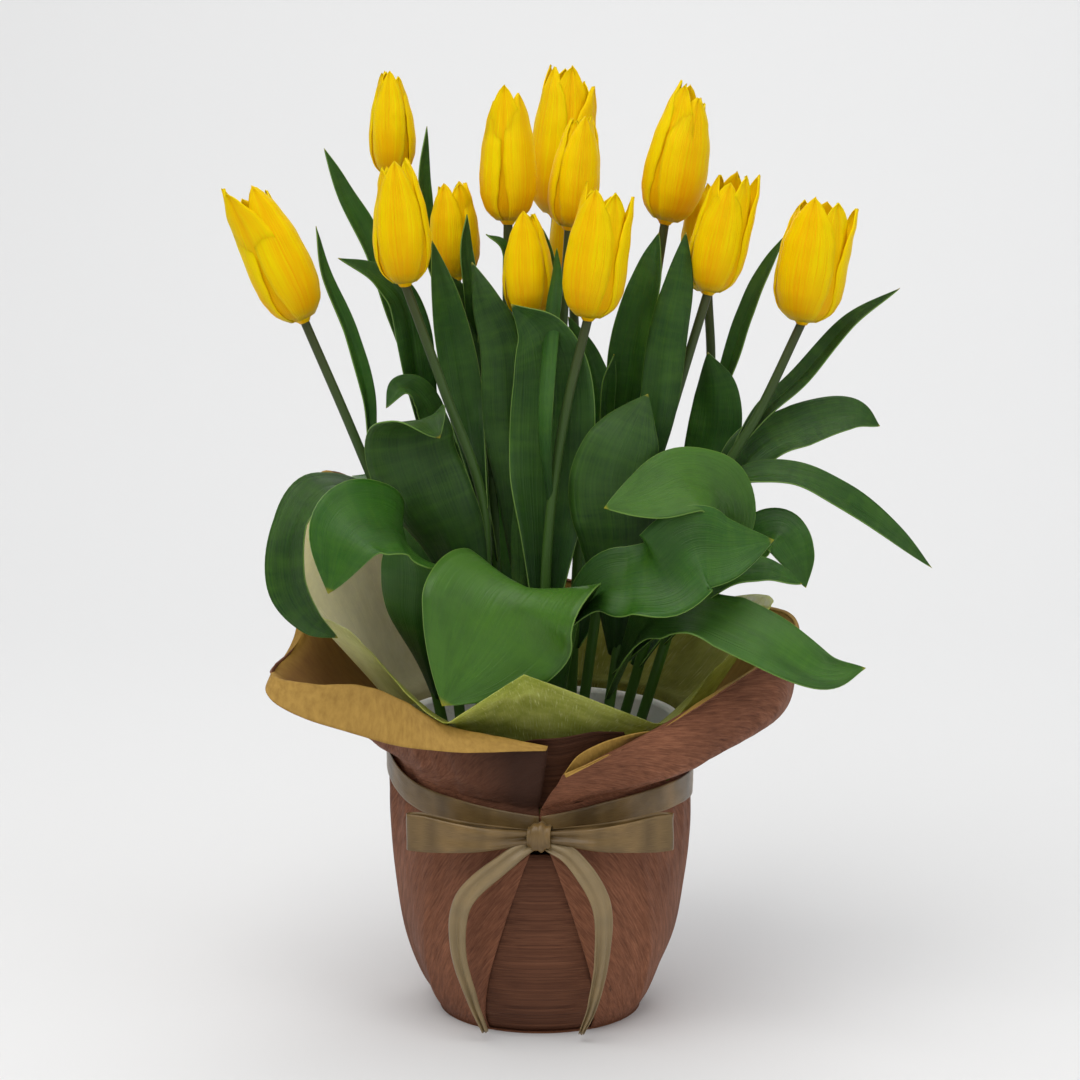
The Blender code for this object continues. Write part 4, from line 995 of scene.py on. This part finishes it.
def paperKnots(a):
    # up the bucket to the ribbon, the gathered neck, the wall above it, the top and the turned-down flap
    knotZ = smoothAt(paper["ribbonZ"], a)
    half = paper["thickness"] / 2
    knots = [polar(wingAzimuth(a, s), readCurve(paper["side"], s), half + (knotZ - half) * s)
             for s in (0, 0.1, 0.3, 0.55, 0.8, 1.0)]
    neck = polar(wingAzimuth(a, 1), paper["radius"], knotZ + paper["neckRise"])
    turn, top, end = (smoothAt([at(*station[k]) for station in wrapStations], a) for k in range(3))
    lip = top.lerp(end, 0.45) + Vector((0, 0, 0.1 * (end - top).length))
    return knots + [neck, turn * 0.75 + neck * 0.25, turn * 0.5 + top * 0.5, top, lip, end]


def pleatAt(a, s):
    # s counts the rows of knots; pleats start below the ribbon and fan out above it
    gathered = math.exp(-((s - 5.3) / 1.6) ** 2)
    fanned = min(1.0, max(0.0, (s - 5.5) / 2)) * (0.9 if s < 9 else 0.5)
    folds = noiseAt(a * 62, s * 0.22, 1.3) + 0.5 * noiseAt(a * 140, s * 0.3, 4.1)
    loose = noiseAt(a * 16, s * 0.8, 8.8)
    awayFromFront = min(1, 9 * a, 9 * (1 - a))
    # long folds that open out above the ribbon, only outwards
    fan = max(0.0, noiseAt(a * 34, 0.3, 6.1)) * fanned * awayFromFront
    # flat sides between soft upright creases, fading out towards the ribbon
    turn = (a * paper["corners"] + 0.35 * noiseAt(a * 7, 0.4, 2.7)) % 1 - 0.5
    flat = 1 - math.cos(math.pi / paper["corners"]) / math.cos(2 * math.pi / paper["corners"] * turn)
    faceted = -paper["facet"] * paper["baseRadius"] * flat * max(0.0, 1 - s / 5) ** 0.6 * awayFromFront
    return (paper["pleat"] * folds * (gathered + 0.4 * fanned) + paper["crumple"] * loose * (0.35 + 0.6 * fanned)
            + paper["fan"] * fan + faceted)


# folds tucked in behind the wings where they part above the knot; each row runs from left to right; the tuck takes the
# darkest copy of the brown paper, painted shade
folds = {
    "tuck": {"skin": 3, "rows": [[(-13, 96, -69), (-4, 96, -73), (8, 97, -74), (20, 99, -72), (31, 103, -66)],
                                 [(-14, 112, -70), (-4, 112, -75), (9, 113, -76), (23, 116, -74), (35, 120, -66)],
                                 [(-16, 124, -72), (-4, 126, -78), (10, 127, -80), (26, 130, -77), (42, 131, -68)],
                                 [(-16, 127, -74), (-4, 130, -81), (10, 131, -82), (27, 134, -78), (42, 134, -70)]]},
    "curl": {"skin": 1, "rows": [[(13, 111, -90), (21, 114, -88), (32, 119, -85), (46, 125, -81), (57, 131, -77)],
                                 [(12, 112, -91), (20, 118, -90), (32, 124, -87), (46, 129, -83), (58, 133, -79)],
                                 [(12, 113, -92), (19, 122, -92), (32, 129, -89), (46, 133, -85), (59, 135, -81)]]},
}


def addFold(name, fold, skins):
    rows = []
    for s in spaced(paper["foldRows"]):
        knots = [smoothAt([at(*row[k]) for row in fold["rows"]], s) for k in range(5)]
        points = [smoothAt(knots, t) for t in spaced(paper["foldColumns"])]
        rows.append([p + Vector((0, 0.5, 0)) * noise.noise(p * 0.16) for p in points])
    piece = growSheet(f"paper_{name}", rows, *paper["foldSize"])
    dress(piece, skins, fold["skin"])
    thicken(piece, paper["thickness"] * 0.6)
    return piece


def wingRows():
    columns, count = paper["columns"], paper["rows"]
    smooth = [[smoothAt(knots, s) for s in spaced(count)] for knots in (paperKnots(a) for a in spaced(columns))]
    rows = []
    for i in range(count + 1):
        row = []
        for j in range(columns + 1):
            before, after = smooth[max(j - 1, 0)][i], smooth[min(j + 1, columns)][i]
            outward = directionAt(smooth[j], i).cross(after - before).normalized()
            s = i / count * paper["spans"]
            push = pleatAt(j / columns, s)
            if paper["underRibbon"][0] < s < paper["underRibbon"][1]:
                push = min(push, 0) - 0.4      # the ribbon lies over the pleats
            row.append(smooth[j][i] + outward * push * min(1, s / 1.5))
        rows.append(row[::-1])
    return rows


def panelRows():
    rows = []
    for s in spaced(paper["panelRows"], 0, paper["panelTop"]):
        spread = (paper["edgeLow"] + paper["panelLap"]) * (1 - s) + 3
        z = paper["thickness"] / 2 + (paper["ribbonZ"][0] - paper["thickness"] / 2) * s
        radius = readCurve(paper["side"], s) - paper["thickness"] - 0.8
        rows.append([polar(-90 + spread * t, radius + 0.5 * noiseAt(t * 2, s * 9, 2.2), z)
                     for t in spaced(paper["panelColumns"], -1, 1)])
    return rows


def makePaper():
    # the panel and the tuck take darker copies of the brown paper: painted shade
    skins = (makePaperMaterial("paper_outside", 32, 1.04, True), makePaperInside(),
             makePaperMaterial("paper_panel", 90, 0.62), makePaperMaterial("paper_tuck", 60, 0.4))
    wings = growSheet("paper_wings", wingRows(), *paper["wingSize"])
    dress(wings, skins)
    thicken(wings, paper["thickness"] * 0.8, 1)
    panel = growSheet("paper_panel", panelRows(), *paper["panelSize"])
    dress(panel, skins, 2)
    thicken(panel, paper["thickness"] * 0.8)
    extras = [addFold(name, fold, skins) for name, fold in folds.items()]
    deselectAll()
    bpy.ops.mesh.primitive_cylinder_add(vertices=96, radius=(paper["baseRadius"] + 0.8) * mm,
                                        depth=paper["thickness"] * mm, location=(0, 0, paper["thickness"] / 2 * mm))
    disc = bpy.context.object
    bpy.ops.object.transform_apply(location=True, rotation=False, scale=False)
    dress(disc, skins)
    standsFor(joinPieces("paper_wrap", [wings, panel, disc] + extras), "wrap_paper", "wrap_paper")


makePaper()
print("paper wrap")


# The liner: a loose collar of thin nonwoven between the pot and the paper

liner = {"radius": 72.4, "columns": 220, "rows": 50, "thickness": 0.35, "crinkle": 1.6, "wall": (100, 125, 150),
         "size": (463, 130)}
# round the collar from its front corner, clockwise from above: where it turns out, and its top
linerStations = [
    ((-2, 143, -80), (-8, 163, -102)),
    ((-36, 138, -66), (-47, 138, -90)),
    ((-62, 146, -40), (-90, 180, -40)),
    ((-80, 156, -6), (-128, 210, 4)),
    ((-74, 170, 36), (-102, 257, 54)),
    ((-40, 172, 66), (-52, 225, 80)),
    ((0, 165, 76), (0, 200, 88)),
    ((40, 165, 66), (54, 196, 78)),
    ((74, 162, 36), (110, 203, 44)),
    ((86, 150, -2), (112, 192, 0)),
    ((64, 140, -40), (86, 164, -36)),
    ((40, 132, -62), (58, 138, -68)),
]


def collarAt(a, column):
    points = [at(*station[column]) for station in linerStations]
    n = len(points)
    x = a * n
    i, f = int(x) % n, x - int(x)
    return smoothAt([points[(i + k) % n] for k in (-1, 0, 1, 2)], (1 + f) / 3)


def makeLiner():
    columns = []
    for j in range(liner["columns"] + 1):
        # the seam is at the back
        a = ((j + liner["columns"] // 2) % liner["columns"]) / liner["columns"]
        turn, top = collarAt(a, 0), collarAt(a, 1)
        fromFront = abs((a + 0.5) % 1 - 0.5) * len(linerStations)
        if fromFront < 1:
            # straight edges up to the front corner
            beside = linerStations[1 if a < 0.5 else -1]
            top = at(*linerStations[0][1]).lerp(at(*beside[1]), fromFront)
        wall = [polar(-90 - 360 * a, liner["radius"], z) for z in liner["wall"]]
        knots = wall + [wall[2] * 0.25 + turn * 0.75, turn.lerp(top, 0.55), top]
        out = polar(-90 - 360 * a, 1, 0)
        ring = Vector((math.cos(2 * math.pi * a), math.sin(2 * math.pi * a), 0))
        column = []
        for s in spaced(liner["rows"]):
            free = max(0.0, (s - 0.42) / 0.58)
            fold = noise.noise(ring * 5.5 + Vector((0, 0, s * 1.1)))
            fold += 0.6 * noise.noise(ring * 13 + Vector((0, 0, s * 4)))
            column.append(smoothAt(knots, s) + out * liner["crinkle"] * fold * free)
        columns.append(column)
    piece = growSheet("liner_collar", list(zip(*columns[::-1])), *liner["size"])
    dress(piece, [makeLinerMaterial()])
    thicken(piece, liner["thickness"])
    standsFor(piece, "liner", "liner")
    return piece


linerPiece = makeLiner()
print("liner")


# The ribbon: a band round the paper, a knot, two flat loops and two tails

ribbon = {"width": 17.0, "thickness": 0.4, "gap": 0.3, "across": 12, "bandWidth": 13.0, "bandColumns": 180,
          "loopPoints": 72, "tailPoints": 64,
          "loop": [(3, -1.5), (30, -6), (58, 5), (64.5, 9), (58, 11.5), (34, 2.5), (3, 1.8)],
          "tails": {-1: [(-4, 78, -84), (-16, 70, -88), (-38, 50, -84), (-41, 25, -78), (-34, 0, -70),
                         (-27.5, -16, -64)],
                    1: [(4, 78, -84), (17, 70, -88), (30.5, 48, -86), (31, 22, -80), (26.5, -2, -72),
                        (20.5, -17, -65)]},
          "tailWidths": [6.5, 8.5, 9.5, 9.5, 9, 8, 7, 6, 4.5, 2.8], "tailHighlight": 0.5,
          "knotRadius": 5.4, "knotHalf": 5.6, "knotSteps": 40}


def stripRows(route, faces, widths, seed):
    # rows of points across a strip, with soft lengthwise folds where it is narrowed
    rows = []
    for i, p in enumerate(route):
        edge = directionAt(route, i).cross(faces[i]).normalized()
        squeeze = max(0.0, 1 - widths[i] / ribbon["width"])
        row = []
        for t in spaced(ribbon["across"], -1, 1):
            lift = 1.6 * squeeze * math.sin(5.2 * t + seed) + 0.35 * noiseAt(t + seed, i / 9, 1.0)
            row.append(p + edge * (widths[i] / 2 * t) + faces[i] * lift)
        rows.append(row)
    return rows


def addStrip(name, rows, skin, tone=0.0):
    length = lengthOf([row[len(row) // 2] for row in rows])
    piece = growSheet(name, rows, ribbon["width"], length, tone)
    dress(piece, [skin])
    thicken(piece, ribbon["thickness"])
    return piece, length


def bandRows():
    rows = []
    for a in spaced(ribbon["bandColumns"]):
        row = []
        for t in spaced(ribbon["across"], -1, 1):
            lift = paper["thickness"] + ribbon["gap"] + 0.35 * noiseAt(a * 40, t * 1.5, 3) + 0.25
            z = smoothAt(paper["ribbonZ"], a) + ribbon["bandWidth"] / 2 * t
            row.append(polar(wingAzimuth(a, 1), paper["radius"] + lift, z))
        rows.append(row[::-1])
    return rows


def knotRows(front, knotZ):
    # a short wrap of the same ribbon round the others
    rows = []
    for i in range(ribbon["knotSteps"] + 1):
        angle = 2 * math.pi * i / ribbon["knotSteps"]
        row = []
        for t in spaced(ribbon["across"], -1, 1):
            radius = ribbon["knotRadius"] + 0.9 * math.cos(math.pi * t) + 0.5 * math.sin(9 * t)
            radius += 0.3 * noiseAt(t, angle, 0)
            row.append(Vector((ribbon["knotHalf"] * t + 0.8 * math.sin(angle),
                               front - 0.5 + radius * math.sin(angle) * 0.8, knotZ + radius * math.cos(angle) * 1.15)))
        rows.append(row)
    return rows


def makeRibbon():
    skin = makeRibbonMaterial()
    strips = [addStrip("band", bandRows(), skin)]
    front = -(paper["radius"] + 7)
    knotZ = paper["ribbonZ"][0] - 2
    for way in (-1, 1):
        route = spreadAlong([Vector((way * x, front + y, knotZ)) for x, y in ribbon["loop"]],
                            ribbon["loopPoints"])
        faces = [Vector((0, 0, 1)).cross(directionAt(route, i)).normalized() for i in range(len(route))]
        widths = [ribbon["width"] * (0.3 + 0.76 * min(1, abs(p.x) / 56)) for p in route]
        strips.append(addStrip("loop", stripRows(route, faces, widths, way), skin))
    pairs = list(zip(spaced(len(ribbon["tailWidths"]) - 1), ribbon["tailWidths"]))
    for way, points in ribbon["tails"].items():
        route = spreadAlong([at(*p) for p in points], ribbon["tailPoints"])
        faces = [Vector((p.x * 0.6, p.y, 0)).normalized() for p in route]
        widths = [readCurve(pairs, s) for s in spaced(ribbon["tailPoints"] - 1)]
        strips.append(addStrip("tail", stripRows(route, faces, widths, way * 2), skin, ribbon["tailHighlight"]))
    strips.append(addStrip("knot", knotRows(front, knotZ), skin))
    piece = joinPieces("ribbon_bow", [strip for strip, length in strips])
    standsFor(piece, "ribbon", "ribbon")
    return piece, sum(length for strip, length in strips)


ribbonPiece, ribbonLength = makeRibbon()
print("ribbon:", round(ribbonLength / 1000, 3), "m long")


# Floor and backdrop, in metres

stage = {"columns": (-6, -3, -1, 0, 1, 3, 6), "floorFrom": -6.0, "bendFrom": 0.9, "bend": 1.1, "top": 6.0,
         "size": 12.0, "grey": 0.78}


def makeStage():
    profile = [(stage["floorFrom"], 0.0), (-1.5, 0.0), (0.0, 0.0), (stage["bendFrom"], 0.0)]
    profile += [(stage["bendFrom"] + stage["bend"] * math.sin(k * math.pi / 32),
                 stage["bend"] - stage["bend"] * math.cos(k * math.pi / 32)) for k in range(1, 17)]
    wallY = stage["bendFrom"] + stage["bend"]
    profile += [(wallY, stage["top"] / 2), (wallY, stage["top"])]
    rows = [[Vector((x, y, z)) / mm for x in stage["columns"]] for y, z in profile]
    piece = growSheet("backdrop", rows, stage["size"] / mm, stage["size"] / mm)
    bpy.ops.object.shade_smooth()
    dress(piece, [finishSkin(newMaterial("backdrop_grey")[0], grey(stage["grey"]), None, 0.9, 0.15)])


makeStage()


def addArea(name, place, aim, size, power, colour=white):
    light = bpy.data.lights.new(name, "AREA")
    light.shape = "RECTANGLE"
    light.size, light.size_y = size
    light.energy = power
    light.color = colour
    lamp = bpy.data.objects.new(name, light)
    bpy.context.collection.objects.link(lamp)
    lamp.location = place
    lamp.rotation_euler = (Vector(aim) - Vector(place)).to_track_quat("-Z", "Y").to_euler()


addArea("top", (0.1, 0.1, 2.7), (0, 0, 0), (2.6, 2.6), 16)
addArea("key", (-0.65, -1.15, 2.05), (0, 0, 0.25), (2.0, 2.0), 32, (1, 0.99, 0.97))
addArea("fill", (1.6, -1.2, 1.0), (0, 0, 0.2), (1.6, 1.6), 8, (0.97, 0.985, 1))
addArea("back", (0.5, 1.3, 2.1), (0.3, 1.6, 0.3), (2.0, 1.0), 9)

world = bpy.data.worlds.new("studio")
world.use_nodes = True
world.node_tree.nodes["Background"].inputs["Color"].default_value = (0.97, 0.98, 1, 1)
world.node_tree.nodes["Background"].inputs["Strength"].default_value = 0.44
bpy.context.scene.world = world
bpy.context.scene.view_settings.view_transform = "Standard"

camera = bpy.data.cameras.new("front")
camera.lens, camera.sensor_width = 100, 36
cameraObject = bpy.data.objects.new("front", camera)
bpy.context.collection.objects.link(cameraObject)
cameraObject.location = (0, -1.4772, 0.5005)
cameraObject.rotation_euler = (math.radians(90 - view["tilt"]), 0, 0)
bpy.context.scene.camera = cameraObject
print("stage, lights and camera")
